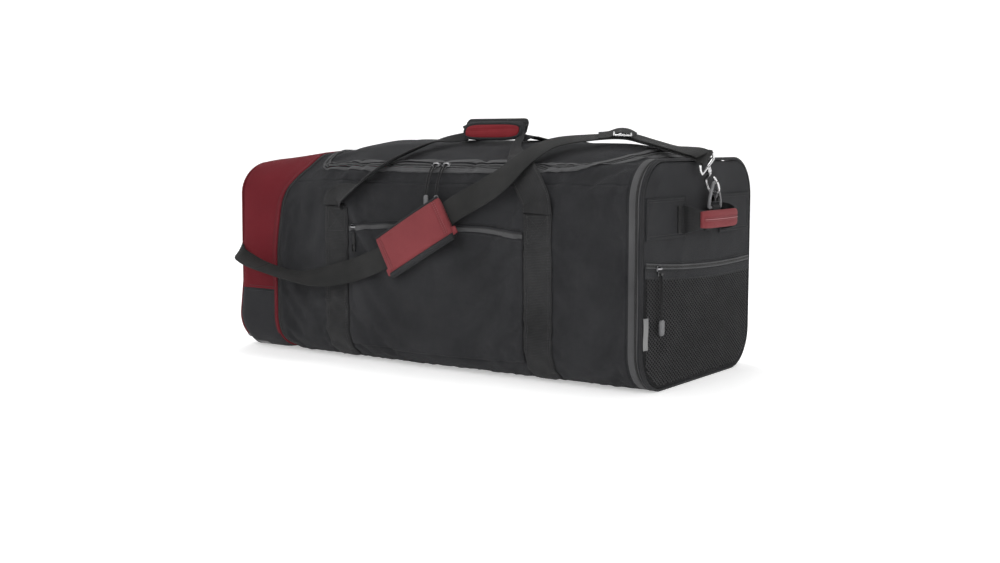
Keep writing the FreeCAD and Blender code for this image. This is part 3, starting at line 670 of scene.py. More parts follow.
FOLDS = [
    # near the wheel box, where the fabric gathers towards the lid's corner
    ((-262, 62), 8, 46, 7, 4.0), ((-250, 84), 12, 50, 8, -4.0), ((-240, 106), 16, 50, 8, 3.5),
    ((-255, 38), -6, 46, 8, -3.0), ((-262, 12), -24, 40, 9, 2.5),
    # slack wall between the wheel box and the first strip, and beside the strip
    ((-232, -40), 74, 52, 12, -3.0), ((-208, -64), 82, 60, 9, 3.0), ((-252, -150), 80, 70, 16, -2.5),
    ((-214, -190), 64, 50, 11, 2.5), ((-290, -210), 40, 34, 10, 2.0),
    # under the pocket and beside the second strip
    ((120, -232), 4, 90, 14, -3.0), ((30, -250), -5, 80, 11, 2.5), ((262, -60), 86, 60, 10, 2.6),
    ((286, -120), 82, 70, 13, -2.6), ((330, -40), 66, 50, 13, 2.6), ((322, 30), 30, 44, 10, -2.6),
    ((300, 60), 20, 50, 10, 3.0), ((345, -200), 50, 50, 14, 2.0),
    # on the lid
    ((-120, 140), 10, 90, 16, 2.5), ((60, 120), -8, 110, 18, -3.0), ((220, 170), 14, 90, 15, 3.0),
    ((-200, 240), -20, 90, 16, -2.5), ((120, 270), 5, 110, 18, 2.5), ((300, 250), 40, 60, 14, -2.5),
]


def folded(form):
    """Listed and small seeded folds, along the surface's normals."""
    xs = (TUBE_X0 + DX * np.arange(NX))[:, None]
    runs = (RUN_0 + DR * np.arange(NR))[None]
    lift = np.zeros((NX, NR))
    for place, angle, long, wide, height in FOLDS:
        lift += ridge(xs, runs, place, angle, long, wide, height)
    for _ in range(70):
        place = (rng.uniform(TUBE_X0, TUBE_X1), rng.uniform(-230, 2 * MID + 230))
        lift += ridge(xs, runs, place, rng.uniform(0, 180), rng.uniform(20, 60), rng.uniform(6, 14),
                      rng.uniform(-1.1, 1.1))
    ends = np.clip(np.minimum(xs - TUBE_X0, TUBE_X1 - xs) / 26, 0, 1)
    lift *= ends * ends * (3 - 2 * ends)
    lift *= np.clip((form[..., 2] - 8) / 30, 0, 1)
    across = np.roll(form, -1, 1) - np.roll(form, 1, 1)
    along = np.gradient(form, axis=0)
    normal = unit(np.cross(along, across))
    return form + normal * lift[..., None]


def warp(points):
    """Soft shape: rounder top corners, a leaning seam, a low crown and a nipped base near the wheel box,
    and a fuller top over the lid."""
    p = np.array(points, float)
    x, y, z = p[..., 0], p[..., 1], p[..., 2]
    near = np.exp(-(np.clip(x + 318, 0, None) / 85) ** 2) * np.clip((x + 420) / 80, 0.2, 1)
    big = 97.0
    cy, cz = HALF_WIDTH - big, END_HEIGHT + 1 - big
    dy, dz = np.abs(y) - cy, z - cz
    reach = np.hypot(dy, dz)
    over = (dy > 0) & (dz > 0) & (reach > big)
    k = np.where(over, 1 - near * (1 - big / np.maximum(reach, 1e-6)), 1.0)
    new_y = np.where(over, np.sign(y) * (cy + dy * k), y)
    new_z = np.where(over, cz + dz * k, z)
    seam = np.exp(-((x + 314) / np.where(x < -314, 52.0, 80.0)) ** 2)
    tall = np.clip((z - 170) / 130, 0, 1) ** 1.4
    lean = seam * (11.0 + 23.0 * tall * (0.35 + 0.65 * np.clip(np.abs(y) / 150, 0, 1)))
    lean = lean + (8.0 * np.clip((-335 - x) / 55, 0, 1) * np.clip((z - 60) / 60, 0, 1)
                   * np.clip((-y - 50) / 70, 0, 1))
    lean = lean + 30.0 * seam * np.clip((z - 285) / 55, 0, 1) ** 1.5
    new_z = new_z - 7.0 * np.clip((-330 - x) / 60, 0, 1) * np.clip((z - 280) / 50, 0, 1)
    new_z = new_z + 9.0 * seam * np.clip(1 - (y / 150) ** 2, 0, 1) * np.clip((z - 300) / 36, 0, 1)
    new_z = new_z + 5.0 * np.exp(-((x + 314) / 15) ** 2) * np.clip((34 - z) / 34, 0, 1)
    # the top stays full towards the pocket end, under the shoulder strap
    full = np.exp(-((x - 330) / 72) ** 2) * np.exp(-((y + 25) / 75) ** 2) * np.clip((380 - x) / 34, 0, 1)
    new_z = new_z + 12.0 * full * np.clip((z - 300) / 30, 0, 1)
    crest = np.exp(-((x + 165) / 85) ** 2) * np.exp(-(y / 95) ** 2)
    new_z = new_z + 8.0 * crest * np.clip((z - 325) / 30, 0, 1)
    return np.stack([x + lean, new_y, new_z], -1)


BODY = rest_form()
BODY = BODY + stuff(BODY)
BODY = warp(folded(BODY))


def cubic(t):
    return np.stack([((2 - t) * t - 1) * t / 2, ((3 * t - 5) * t * t + 2) / 2,
                     ((4 - 3 * t) * t + 1) * t / 2, (t - 1) * t * t / 2], -1)


def on_body(x, run):
    """Smooth point of the body's surface; x and run are arrays of one shape."""
    gi = np.clip((np.asarray(x, float) - TUBE_X0) / DX, 0, NX - 1 - 1e-6)
    gj = np.mod((np.asarray(run, float) - RUN_0) / DR, NR)
    i, j = np.floor(gi).astype(int), np.floor(gj).astype(int)
    wi, wj = cubic(gi - i), cubic(gj - j)
    total = 0
    for a in range(4):
        row = np.clip(i + a - 1, 0, NX - 1)
        for b in range(4):
            weight = (wi[..., a] * wj[..., b])[..., None]
            total = total + BODY[row, (j + b - 1) % NR] * weight
    return total


def skin(x, run, lift=0.0):
    """Point lifted off the body's surface, and the outward normal there."""
    x, run = np.broadcast_arrays(np.asarray(x, float), np.asarray(run, float))
    d = 3.0
    along = on_body(np.minimum(x + d, TUBE_X1), run) - on_body(np.maximum(x - d, TUBE_X0), run)
    across = on_body(x, run + d) - on_body(x, run - d)
    normal = unit(np.cross(along, across))
    return on_body(x, run) + normal * np.asarray(lift)[..., None], normal


def place(obj, body, slot, replaces=(), soft=False):
    """Rides a piece on its body; a soft one gets its own copy of its mesh."""
    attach(obj, body)
    if replaces:
        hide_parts(*replaces)
    if soft:
        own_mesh(obj)
    return obj


def skin_patch(shape, xs, runs, lift=0.0, mat=0, keep=None):
    """Grid on the body; lift may be a grid of heights."""
    gx, gr = np.meshgrid(xs, runs, indexing="ij")
    points, _ = skin(gx, gr, np.broadcast_to(lift, gx.shape))
    uv = np.stack([gx, gr], -1) * 0.001
    shape.grid(points, uv, mat=mat, keep=keep)


def spaced(low, high, step):
    return np.linspace(low, high, max(2, int(round(abs(high - low) / step)) + 1))


# ---- main tube ----------------------------------------------------------------
SEAM_RUN = EDGE_R * math.asin((300.0 - SHOULDER_Z) / EDGE_R)


def tube_panels():
    step = 4.2
    xs = spaced(TUBE_X0, TUBE_X1, step)
    for name, low, high in (("front_panel", RUN_BASE_EDGE, SEAM_RUN),
                            ("back_panel", 2 * MID - SEAM_RUN, 2 * MID - RUN_BASE_EDGE),
                            ("base_panel", 2 * MID - RUN_BASE_EDGE, 2 * HALF_LOOP + RUN_BASE_EDGE)):
        shape = Shape()
        skin_patch(shape, xs, spaced(low, high, step))
        obj = shape.build(name + "_cloth", [M["black"]], thick=2.2)
        place(obj, "bag", "black_fabric", [name], True)


def lid_outline(grow, step=4.0):
    """Outline of the lid opening as (x, run), from the hinge's wheel end round the front."""
    x0, x1, y0, y1, r = LID
    x0, x1, y0, r = x0 - grow, x1 + grow, y0 - grow, r + grow
    pts = [(x0, y) for y in spaced(y1, y0 + r, step)]
    for k in spaced(0, math.pi / 2, step / r)[1:]:
        pts.append((x0 + r - r * math.cos(k), y0 + r - r * math.sin(k)))
    pts += [(x, y0) for x in spaced(x0 + r, x1 - r, step)[1:]]
    for k in spaced(math.pi / 2, 0, step / r)[1:]:
        pts.append((x1 - r + r * math.cos(k), y0 + r - r * math.sin(k)))
    pts += [(x1, y) for y in spaced(y0 + r, y1, step)[1:]]
    pts = np.array(pts)
    return pts[:, 0], run_at(pts[:, 1])


def inside_lid(x, y, grow):
    """How far inside the grown outline a plan point is; negative outside."""
    x0, x1, y0, y1, r = LID
    x0, x1, y0, r = x0 - grow, x1 + grow, y0 - grow, r + grow
    cx = np.clip(x, x0 + r, x1 - r)
    cy = np.maximum(y0 + r, y)
    straight = np.minimum(np.minimum(x - x0, x1 - x), np.minimum(y - y0, y1 - y))
    corner = r - np.hypot(x - cx, y - cy)
    at_corner = (y < y0 + r) & ((x < x0 + r) | (x > x1 - r))
    return np.where(at_corner, corner, straight)


def top_border():
    """Skin between the seams and the zip, with the lid's opening left out of it."""
    xs = spaced(TUBE_X0, TUBE_X1, 3.6)
    runs = spaced(SEAM_RUN, 2 * MID - SEAM_RUN, 3.6)
    gx, gr = np.meshgrid(xs, runs, indexing="ij")
    y, _ = section(gr)
    grow = 7.2
    depth = inside_lid(gx, y, grow)
    drop = depth > 1.8
    keep = ~(drop[:-1, :-1] | drop[1:, :-1] | drop[:-1, 1:] | drop[1:, 1:])
    edge_x, edge_run = lid_outline(grow, 1.0)
    hinge_x = spaced(edge_x[-1], edge_x[0], 1.0)
    edge_x = np.concatenate([edge_x, hinge_x])
    edge_run = np.concatenate([edge_run, np.full(len(hinge_x), edge_run[0])])
    near = (np.abs(depth) < 5.4) & ~drop
    used = np.zeros_like(drop)
    used[:-1, :-1] |= keep
    used[1:, :-1] |= keep
    used[:-1, 1:] |= keep
    used[1:, 1:] |= keep
    full = np.ones_like(drop)
    full[:-1, :-1] &= keep
    full[1:, :-1] &= keep
    full[:-1, 1:] &= keep
    full[1:, 1:] &= keep
    rim = used & ~full & near
    for i, j in np.argwhere(rim):
        k = np.argmin((edge_x - gx[i, j]) ** 2 + (edge_run - gr[i, j]) ** 2)
        gx[i, j], gr[i, j] = edge_x[k], edge_run[k]
    points, _ = skin(gx, gr)
    shape = Shape()
    shape.grid(points, np.stack([gx, gr], -1) * 0.001, keep=keep)
    clean_loose(shape)
    obj = shape.build("top_border_cloth", [M["black"]], thick=2.2)
    place(obj, "bag", "black_fabric", ["top_border"], True)


def clean_loose(shape):
    """Drops the points that no face uses."""
    verts = np.concatenate(shape.verts)
    used = sorted({i for face in shape.faces for i in face})
    new = {old: k for k, old in enumerate(used)}
    shape.verts = [verts[used]]
    shape.faces = [[new[i] for i in face] for face in shape.faces]
    shape.count = len(used)


def lid_panel():
    x0, x1, y0, y1, r = LID
    turn = 1 - np.cos(np.linspace(0, math.pi / 2, 26))
    ys = np.concatenate([y0 + r * turn, spaced(y0 + r, y1 - 1, 4.2)[1:]])
    n = 156
    grid_x = np.zeros((n, len(ys)))
    for j, y in enumerate(ys):
        cut = r - math.sqrt(max(r * r - max(r - (y - y0), 0) ** 2, 0))
        grid_x[:, j] = np.linspace(x0 + cut, x1 - cut, n)
    gr = np.broadcast_to(run_at(ys), grid_x.shape)
    depth = np.minimum(inside_lid(grid_x, ys[None], 0.0), 40.0)
    puff = 1.6 * (1 - np.exp(-np.clip(depth, 0, 99) / 9.0))
    points, _ = skin(grid_x, gr, puff - 0.4)
    shape = Shape()
    shape.grid(points, np.stack([grid_x, gr], -1) * 0.001)
    obj = shape.build("lid_cloth", [M["black"], M["thread"]], thick=2.2)
    place(obj, "lid", "black_fabric", ["lid_panel"], True)
    # at the hinge the lid's cloth runs on under the border, and a facing comes forward under the lid
    hinge = float(run_at(y1))
    for name, body, low, high, drop in (("lid_hinge_flap", "lid", -6.0, 15.0, -2.9),
                                        ("hinge_facing", "bag", -15.0, 14.0, -4.6)):
        flap = Shape()
        skin_patch(flap, spaced(x0 + 3, x1 - 3, 4.2), spaced(hinge + low, hinge + high, 3.0), drop)
        obj = flap.build(name, [M["black"]], thick=1.1)
        place(obj, body, "black_fabric", soft=True)
    seams = Shape()
    ex, er = lid_outline(-12.0)
    path, out = skin(ex, er, np.full(len(ex), 1.5))
    stitches(seams, path, out, 0, pitch=3.8, length=2.7, r=0.32)
    obj = seams.build("lid_stitching", [M["thread"]])
    place(obj, "lid", "black_fabric", soft=True)


def tape_rows(path, wide, thick, low):
    """Tape sections along the lid's zip, narrower towards the wheel end, where the cloth rolls over it."""
    cover = np.clip((-120 - path[:, 0]) / 90, 0, 1)
    return np.array([flat_profile(wide * (1 - 0.65 * c), thick, 0.4, low) for c in cover])


def main_zip():
    shape = Shape()
    ex, er = lid_outline(4.1, 3.0)
    path, out = skin(ex, er)
    zip_line(shape, path, out, tape=2.4, gap=1.5, rise=1.3)
    side, out = frames(path, out)
    wide_x, wide_run = lid_outline(10.6, 3.0)
    path2, out2 = skin(wide_x, wide_run)
    side2, out2 = frames(path2, out2)
    shape.sweep(path2, side2, out2, tape_rows(path2, 8.6, 0.9, 0.25), mat=0)
    obj = shape.build("main_zip", [M["tape"], M["coil"]])
    place(obj, "main_zip", "zip_tape", ["main_zip_track"], True)
    upper = Shape()
    path, out = skin(*lid_outline(-4.6, 3.0), lift=1.3)
    side, out = frames(path, out)
    upper.sweep(path, side, out, tape_rows(path, 8.2, 1.0, -0.2))
    obj = upper.build("lid_zip_tape", [M["tape"]])
    place(obj, "lid", "zip_tape", soft=True)
    marks = Shape()
    for grow, lift in ((-7.4, 2.3), (13.6, 1.4)):
        path, out = skin(*lid_outline(grow, 3.0), lift=lift)
        stitches(marks, path, out, 0, pitch=3.8, length=2.7, r=0.3)
        if grow < 0:
            obj = marks.build("lid_tape_stitching", [M["thread"]])
            place(obj, "lid", "black_fabric", soft=True)
            marks = Shape()
    obj = marks.build("border_tape_stitching", [M["thread"]])
    place(obj, "bag", "black_fabric", soft=True)


tube_panels()
top_border()
lid_panel()
main_zip()


# ---- wheel box ----------------------------------------------------------------
def end_outline(inset, count=(14, 12, 26, 12, 28)):
    """(y, z) round an end panel from the middle of its base, with its outward directions."""
    r = max(EDGE_R - inset, 6.0)
    half, low, high = HALF_WIDTH - inset, inset, END_HEIGHT - inset
    flat, bend, wall, turn, top = count
    pts, out = [], []

    def line(a, b, n, normal):
        for t in np.arange(n) / n:
            pts.append((a[0] + t * (b[0] - a[0]), a[1] + t * (b[1] - a[1])))
            out.append(normal)

    def arc(cy, cz, start, n):
        for t in start + np.arange(n) / n * math.pi / 2:
            pts.append((cy + r * math.cos(t), cz + r * math.sin(t)))
            out.append((math.cos(t), math.sin(t)))

    line((0, low), (half - r, low), flat, (0, -1))
    arc(half - r, low + r, -math.pi / 2, bend)
    line((half, low + r), (half, high - r), wall, (1, 0))
    arc(half - r, high - r, 0, turn)
    line((half - r, high), (-half + r, high), top, (0, 1))
    arc(-half + r, high - r, math.pi / 2, turn)
    line((-half, high - r), (-half, low + r), wall, (-1, 0))
    arc(-half + r, low + r, math.pi, bend)
    line((-half + r, low), (0, low), flat, (0, -1))
    return np.array(pts), np.array(out)


def end_loop(x, inset, lift=0.0):
    """Closed path round an end with outward vectors, at one place along X."""
    pts, out = end_outline(inset)
    path = np.concatenate([np.full((len(pts), 1), x), pts], 1)
    out = np.concatenate([np.zeros((len(pts), 1)), out], 1)
    return (warp(path) if x < 0 else path) + out * lift, out


def weld(obj, dist=0.00002):
    work = bmesh.new()
    work.from_mesh(obj.data)
    bmesh.ops.remove_doubles(work, verts=work.verts, dist=dist)
    bmesh.ops.recalc_face_normals(work, faces=work.faces)
    work.to_mesh(obj.data)
    work.free()


def split_at(obj, z, upper):
    """Keeps what is above or below a level."""
    work = bmesh.new()
    work.from_mesh(obj.data)
    bmesh.ops.bisect_plane(work, geom=work.verts[:] + work.edges[:] + work.faces[:],
                           plane_co=(0, 0, z * 0.001), plane_no=(0, 0, 1),
                           clear_inner=upper, clear_outer=not upper)
    work.to_mesh(obj.data)
    work.free()


def box_skin(name, mat):
    """Fabric over the rigid box: barrel, rounded edge and end wall."""
    shape = Shape()
    xs = [(x, 0.0) for x in spaced(RIM_X - 2.0, -HALF_LENGTH + 20, 5.5)]
    xs += [(-HALF_LENGTH + 20 - 20 * math.sin(a), 20 - 20 * math.cos(a))
           for a in np.linspace(0, math.pi / 2, 8)[1:]]
    rows, uvs = [], []
    length = 0.0
    base, _ = end_outline(0)
    around = np.concatenate([[0], np.cumsum(np.linalg.norm(np.diff(
        np.concatenate([base, base[:1]]), axis=0), axis=1))])
    previous = None
    for x, inset in xs:
        pts, out = end_outline(inset)
        phase = around[:-1]
        wave = 0.7 * np.sin(phase / 47.0 + x / 31.0) + 0.5 * np.sin(phase / 23.0 - x / 17.0 + 1.3)
        fade = min(1, (RIM_X - 2 - x) / 18)
        pts = pts + out * (wave * fade * (pts[:, 1:] > 14).ravel())[:, None]
        # the front and back walls are drawn in a little between the corners
        waist = np.exp(-((pts[:, 1] - 225) / 60) ** 2) * np.abs(out[:, 0]) * 2.2 * fade
        pts = pts - out * waist[:, None]
        rows.append(warp(np.concatenate([np.full((len(pts), 1), x), pts], 1)))
        if previous is not None:
            length += math.hypot(x - previous[0], inset - previous[1])
        previous = (x, inset)
        uvs.append(np.stack([around, np.full(len(around), length)], 1) * 0.001)
    shape.grid(np.array(rows), np.array(uvs), close_v=True)
    rings = [rows[-1]]
    for inset in (26, 34, 46, 62, 80, 100, 122, 144, 160):
        pts, _ = end_outline(inset)
        bulge = 1.6 * (1 - (pts[:, 0] / 170) ** 2) * (1 - ((pts[:, 1] - 168) / 160) ** 2)
        bulge += 0.8 * np.sin(pts[:, 0] / 26 + 1) * np.sin(pts[:, 1] / 33)
        x = -HALF_LENGTH - bulge * min(1, (inset - 20) / 30)
        rings.append(warp(np.concatenate([x[:, None], pts], 1)))
    rings = np.array(rings)
    closed = np.concatenate([rings, rings[:, :1]], 1)
    shape.grid(rings, closed[..., 1:] * 0.001, close_v=True)
    last = shape.count - rings.shape[1]
    ids = list(range(last, shape.count))
    shape.faces.append(ids)
    shape.uvs.append([tuple(rings[-1][k, 1:] * 0.001) for k in range(len(ids))])
    shape.mats.append(0)
    obj = shape.build(name, [mat])
    weld(obj)
    return obj


def cutter(y):
    """Space that one wheel housing takes out of the box."""
    work = bmesh.new()
    x0, x1, half, z0, z1 = -430, -359.6, 31.4, -20, 58.4
    for v in bmesh.ops.create_cube(work, size=1.0)["verts"]:
        v.co = Vector(((x0 + x1) / 2 + v.co.x * (x1 - x0), y + v.co.y * 2 * half,
                       (z0 + z1) / 2 + v.co.z * (z1 - z0))) * 0.001
    mesh = bpy.data.meshes.new("cutter")
    work.to_mesh(mesh)
    work.free()
    obj = bpy.data.objects.new("cutter", mesh)
    bpy.context.scene.collection.objects.link(obj)
    return obj


def wheel_box():
    upper = box_skin("wheel_box_upper_cloth", M["red"])
    split_at(upper, 107.4, True)
    solid_wall(upper, 2.6)
    place(upper, "bag", "red_fabric", ["wheel_box_upper"])
    lower = box_skin("wheel_box_lower_cloth", M["box_black"])
    split_at(lower, 108.2, False)
    solid_wall(lower, 2.6)
    for y in (-120, 120):
        tool = cutter(y)
        cut = lower.modifiers.new("housing", "BOOLEAN")
        cut.object = tool
        cut.operation = "DIFFERENCE"
        cut.solver = "EXACT"
        bake(lower)
        bpy.data.objects.remove(tool)
    place(lower, "bag", "box_lower_fabric", ["wheel_box_lower"])

    shape = Shape()
    path, out = end_loop(RIM_X - 2.6, 1.4)
    side, out = frames(path, out, True)
    shape.sweep(path, side, out, round_profile(2.5, 10), True)
    shape.sweep(path + np.array([-3.4, 0, 0]), side, out, flat_profile(3.4, 0.8, 0.3, 0.6), True)
    obj = shape.build("rim_piping_cord", [M["red_piping"]])
    place(obj, "bag", "red_piping", ["rim_piping"])

    corner = 20 * (1 - math.sqrt(0.5))
    path, out = end_loop(-HALF_LENGTH + corner, corner)
    out = unit(out + np.array([-1.0, 0, 0]))
    side, out = frames(path, out, True)
    ring = Shape()
    inside = [(p[2] < 60 and min(abs(p[1] - 120), abs(p[1] + 120)) < 33) for p in path]
    # the piping stops at the wheel housings
    runs, here = [], []
    start = next(k for k in range(len(path)) if inside[k])
    for k in list(range(start, len(path))) + list(range(start)):
        if inside[k]:
            if len(here) > 1:
                runs.append(here)
            here = []
        else:
            here.append(k)
    if len(here) > 1:
        runs.append(here)
    for ids in runs:
        ring.sweep(path[ids], side[ids], out[ids], round_profile(2.0, 8))
    obj = ring.build("wheel_end_piping_cord", [M["red_piping"]])
    place(obj, "bag", "red_piping", ["wheel_end_piping"])

    thread = Shape()
    path, out = end_loop(RIM_X - 8.5, 0.0)
    stitches(thread, path, out, 0, lift=0.3)
    for sign in (-1, 1):
        xs = spaced(RIM_X - 8, -HALF_LENGTH + 24, 4)
        for z in (112.0, 103.5):
            path = warp(np.stack([xs, np.full(len(xs), sign * (HALF_WIDTH + 0.2)), np.full(len(xs), z)], 1))
            stitches(thread, path, np.tile((0, sign, 0), (len(xs), 1)), 0, lift=0.4)
    obj = thread.build("wheel_box_stitching", [M["thread"]])
    place(obj, "bag", "box_lower_fabric")

    zipper = Shape()
    path, out = end_loop(-312.0, 1.6)
    zip_line(zipper, path, out, closed=True, tape=2.5, gap=1.3)
    side, out = frames(path, out, True)
    zipper.sweep(path, side, out, flat_profile(8.6, 0.6, 0.2, -1.6), True, 1)
    obj = zipper.build("rim_zip", [M["webbing"], M["coil"]])
    place(obj, "bag", "zip_tape", ["rim_zip_track"])


# ---- pocket end ---------------------------------------------------------------
def end_x(y, z):
    """How far out the soft end panel stands at a place."""
    u, v = np.asarray(y, float) / 176, (np.asarray(z, float) - 168) / 164
    bulge = 2.4 * np.clip(1 - u ** 2, 0, 1) * np.clip(1 - v ** 2, 0, 1)
    folds = (ridge(y, z, (-60, 200), 70, 60, 14, 1.3) + ridge(y, z, (40, 300), 10, 70, 12, -1.3)
             + ridge(y, z, (110, 235), 100, 50, 14, 1.2) + ridge(y, z, (-110, 60), 40, 60, 18, 1.4)
             + ridge(y, z, (60, 70), -30, 70, 16, 1.2) + ridge(y, z, (0, 120), 5, 120, 10, -1.0)
             + ridge(y, z, (-140, 290), 50, 40, 10, 1.0))
    edge = np.clip(np.minimum(1 - np.abs(u), 1 - np.abs(v)) / 0.12, 0, 1)
    return 405.0 + bulge + folds * edge


def end_zip_z(y):
    u = np.asarray(y, float) / 176
    return 181.0 - 6.5 * (1 - u ** 2) - 6.0 * u


def edge_z(y, inset, upper):
    """Height of an end panel's rounded outline at y."""
    half, r = HALF_WIDTH - inset, EDGE_R - inset
    over = np.clip(np.abs(y) - (half - r), 0, r)
    rise = r - np.sqrt(np.maximum(r * r - over ** 2, 0))
    return END_HEIGHT - inset - rise if upper else inset + rise


def end_grid(shape, low, high, lift, inset=5.0, step=4.5, mat=0):
    """Panel on the end face between two heights, each a function of y, inside the outline."""
    half = HALF_WIDTH - inset - 0.1
    ys = half * np.sin(np.linspace(-math.pi / 2, math.pi / 2, 92))
    z0 = np.maximum(low(ys), edge_z(ys, inset, False))
    z1 = np.minimum(high(ys), edge_z(ys, inset, True))
    z1 = np.maximum(z1, z0 + 0.05)
    n = max(3, int(np.max(z1 - z0) / step) + 1)
    t = np.linspace(0, 1, n)[None]
    z = z0[:, None] + (z1 - z0)[:, None] * t
    y = np.broadcast_to(ys[:, None], z.shape)
    points = np.stack([end_x(y, z) + lift, y, z], -1)
    shape.grid(points, points[..., 1:] * 0.001, mat=mat)


def on_end(ys, zs, lift=0.0):
    ys, zs = np.broadcast_arrays(np.asarray(ys, float), np.asarray(zs, float))
    points = np.stack([end_x(ys, zs) + lift, ys, zs], -1)
    return points, np.tile((1.0, 0, 0), (len(ys), 1))


def pocket_end():
    shape = Shape()
    end_grid(shape, lambda y: y * 0, lambda y: y * 0 + 400, 0.0)
    obj = shape.build("end_panel_cloth", [M["black"]], thick=2.0)
    rows = []
    for x in spaced(398.6, 402.6, 2):
        pts, out = end_outline(0)
        pts = pts + out * (0.5 * np.sin(np.arange(len(pts)) / 3.1 + x) * (pts[:, 1] > 12))[:, None]
        rows.append(np.concatenate([np.full((len(pts), 1), x), pts], 1))
    rows = np.array(rows)
    around = np.concatenate([[0], np.cumsum(np.linalg.norm(np.diff(
        np.concatenate([rows[0], rows[0][:1]]), axis=0), axis=1))]) * 0.001
    uv = np.stack(np.meshgrid(rows[:, 0, 0] * 0.001, around, indexing="ij"), -1)
    skirt = Shape()
    skirt.grid(rows, uv, close_v=True, flip=True)
    skirt_obj = skirt.build("end_skirt_cloth", [M["black"]], thick=2.2)
    place(obj, "end_pan", "black_fabric", ["end_panel"])
    place(skirt_obj, "end_pan", "black_fabric")

    ring = Shape()
    path, out = end_loop(403.4, 1.6)
    side, out = frames(path, out, True)
    ring.sweep(path, side, out, round_profile(2.5, 10), True)
    obj = ring.build("end_piping_cord", [M["black_piping"]])
    place(obj, "end_pan", "black_piping", ["end_piping"])

    zipper = Shape()
    path, out = end_loop(395.4, 0.9)
    zip_line(zipper, path, out, closed=True, tape=2.0, gap=1.9)
    for x, wide, low, mat in ((389.6, 21.0, -2.4, 1), (387.4, 8.6, -0.5, 0), (381.4, 3.4, -0.9, 2)):
        path, out = end_loop(x, 0.6)
        side, out = frames(path, out, True)
        zipper.sweep(path, side, out, flat_profile(wide, 1.0, 0.4, low), True, mat)
    obj = zipper.build("end_zip", [M["tape"], M["coil"], M["black"]])
    place(obj, "end_pan", "zip_tape", ["end_zip_track"])

    band = Shape()
    end_grid(band, lambda y: end_zip_z(y) - 19, lambda y: end_zip_z(y) - 3.6, 1.5, 6.0, 4)
    obj = band.build("end_pocket_band_cloth", [M["black"]], thick=1.2)
    place(obj, "end_pan", "black_fabric", ["end_pocket_band"])

    line = Shape()
    ys = spaced(-172, 172, 4)
    path, out = on_end(ys, end_zip_z(ys), 0.9)
    zip_line(line, path, out, tape=2.6, gap=1.2, rise=0.9)
    obj = line.build("end_pocket_zip_line", [M["tape"], M["coil"]])
    place(obj, "end_pan", "zip_tape", ["end_pocket_zip"])

    thread = Shape()
    for offset, lift in ((6.5, 0.3), (-6.0, 1.7), (-16.8, 1.7)):
        path, out = on_end(ys * 0.985, end_zip_z(ys) + offset, lift)
        stitches(thread, path, out, 0)
    obj = thread.build("end_pocket_stitching", [M["thread"]])
    place(obj, "end_pan", "black_fabric")
    pocket_net()

    patches = Shape()
    marks = Shape()
    for sign in (-1, 1):
        y0, y1 = (-172, -54) if sign < 0 else (60, 170)
        gy, gz = np.meshgrid(spaced(y0, y1, 5), spaced(221, 281, 4), indexing="ij")
        limit = edge_z(gy, 7.0, True)
        points = np.stack([end_x(gy, gz) + 1.3, gy, np.minimum(gz, limit)], -1)
        patches.grid(points, points[..., 1:] * 0.001)
        for inset in (2.5, 6.0):
            zs = (221 + inset, 281 - inset)
            a, b = y0 + inset, y1 - inset
            for ya, za, yb, zb in ((a, zs[0], b, zs[0]), (b, zs[0], b, zs[1]), (b, zs[1], a, zs[1]),
                                   (a, zs[1], a, zs[0])):
                path, out = on_end(np.linspace(ya, yb, 30), np.linspace(za, zb, 30), 1.5)
                stitches(marks, path, out, 0)
    obj = patches.build("end_handle_patch_cloth", [M["black"]], thick=1.1)
    place(obj, "end_pan", "webbing", ["end_handle_patches"])
    obj = marks.build("end_handle_patch_stitching", [M["thread"]])
    place(obj, "end_pan", "webbing")

    tag = Shape()
    gz, gx = np.meshgrid(spaced(66, 112, 3), np.linspace(0, 1, 7), indexing="ij")
    y = -HALF_WIDTH + 3 + gx * 11
    x = end_x(y, gz) + 1.6 + 1.6 * np.sin(gx * 2.4) + 0.4 * np.sin(gz / 7)
    tag.grid(np.stack([x, y, gz], -1), np.stack([gz, y], -1) * 0.001)
    obj = tag.build("side_tag_tab", [M["tag"]], thick=0.7)
    place(obj, "end_pan", "tag", ["side_tag"])


def pocket_net():
    """Diamond net of the end pocket: two families of crossing yarns, in front of its cloth."""
    net = Shape()
    pitch = 8.4
    for family in (-1, 1):
        for k in range(-80, 140):
            ys = spaced(-200, 200, 3.2)
            zs = 80 + family * 0.72 * (ys - k * pitch)
            low = edge_z(ys, 8.0, False)
            high = end_zip_z(ys) - 16
            ok = (zs > low) & (zs < high) & (np.abs(ys) < 171)
            if ok.sum() < 3:
                continue
            ys, zs = ys[ok], zs[ok]
            path, out = on_end(ys, zs, 1.1 + 0.22 * family)
            side, out = frames(path, out)
            net.sweep(path, side, out, np.array([(-0.85, 0), (0, -0.3), (0.85, 0), (0, 0.4)]))
    obj = net.build("end_pocket_net", [M["net"]])
    place(obj, "end_pan", "mesh", ["end_pocket_mesh"])
    back = Shape()
    end_grid(back, lambda y: y * 0, lambda y: end_zip_z(y) - 12, 0.5, 6.5)
    obj = back.build("end_pocket_lining", [M["foam"]], thick=0.4)
    place(obj, "end_pan", "mesh")


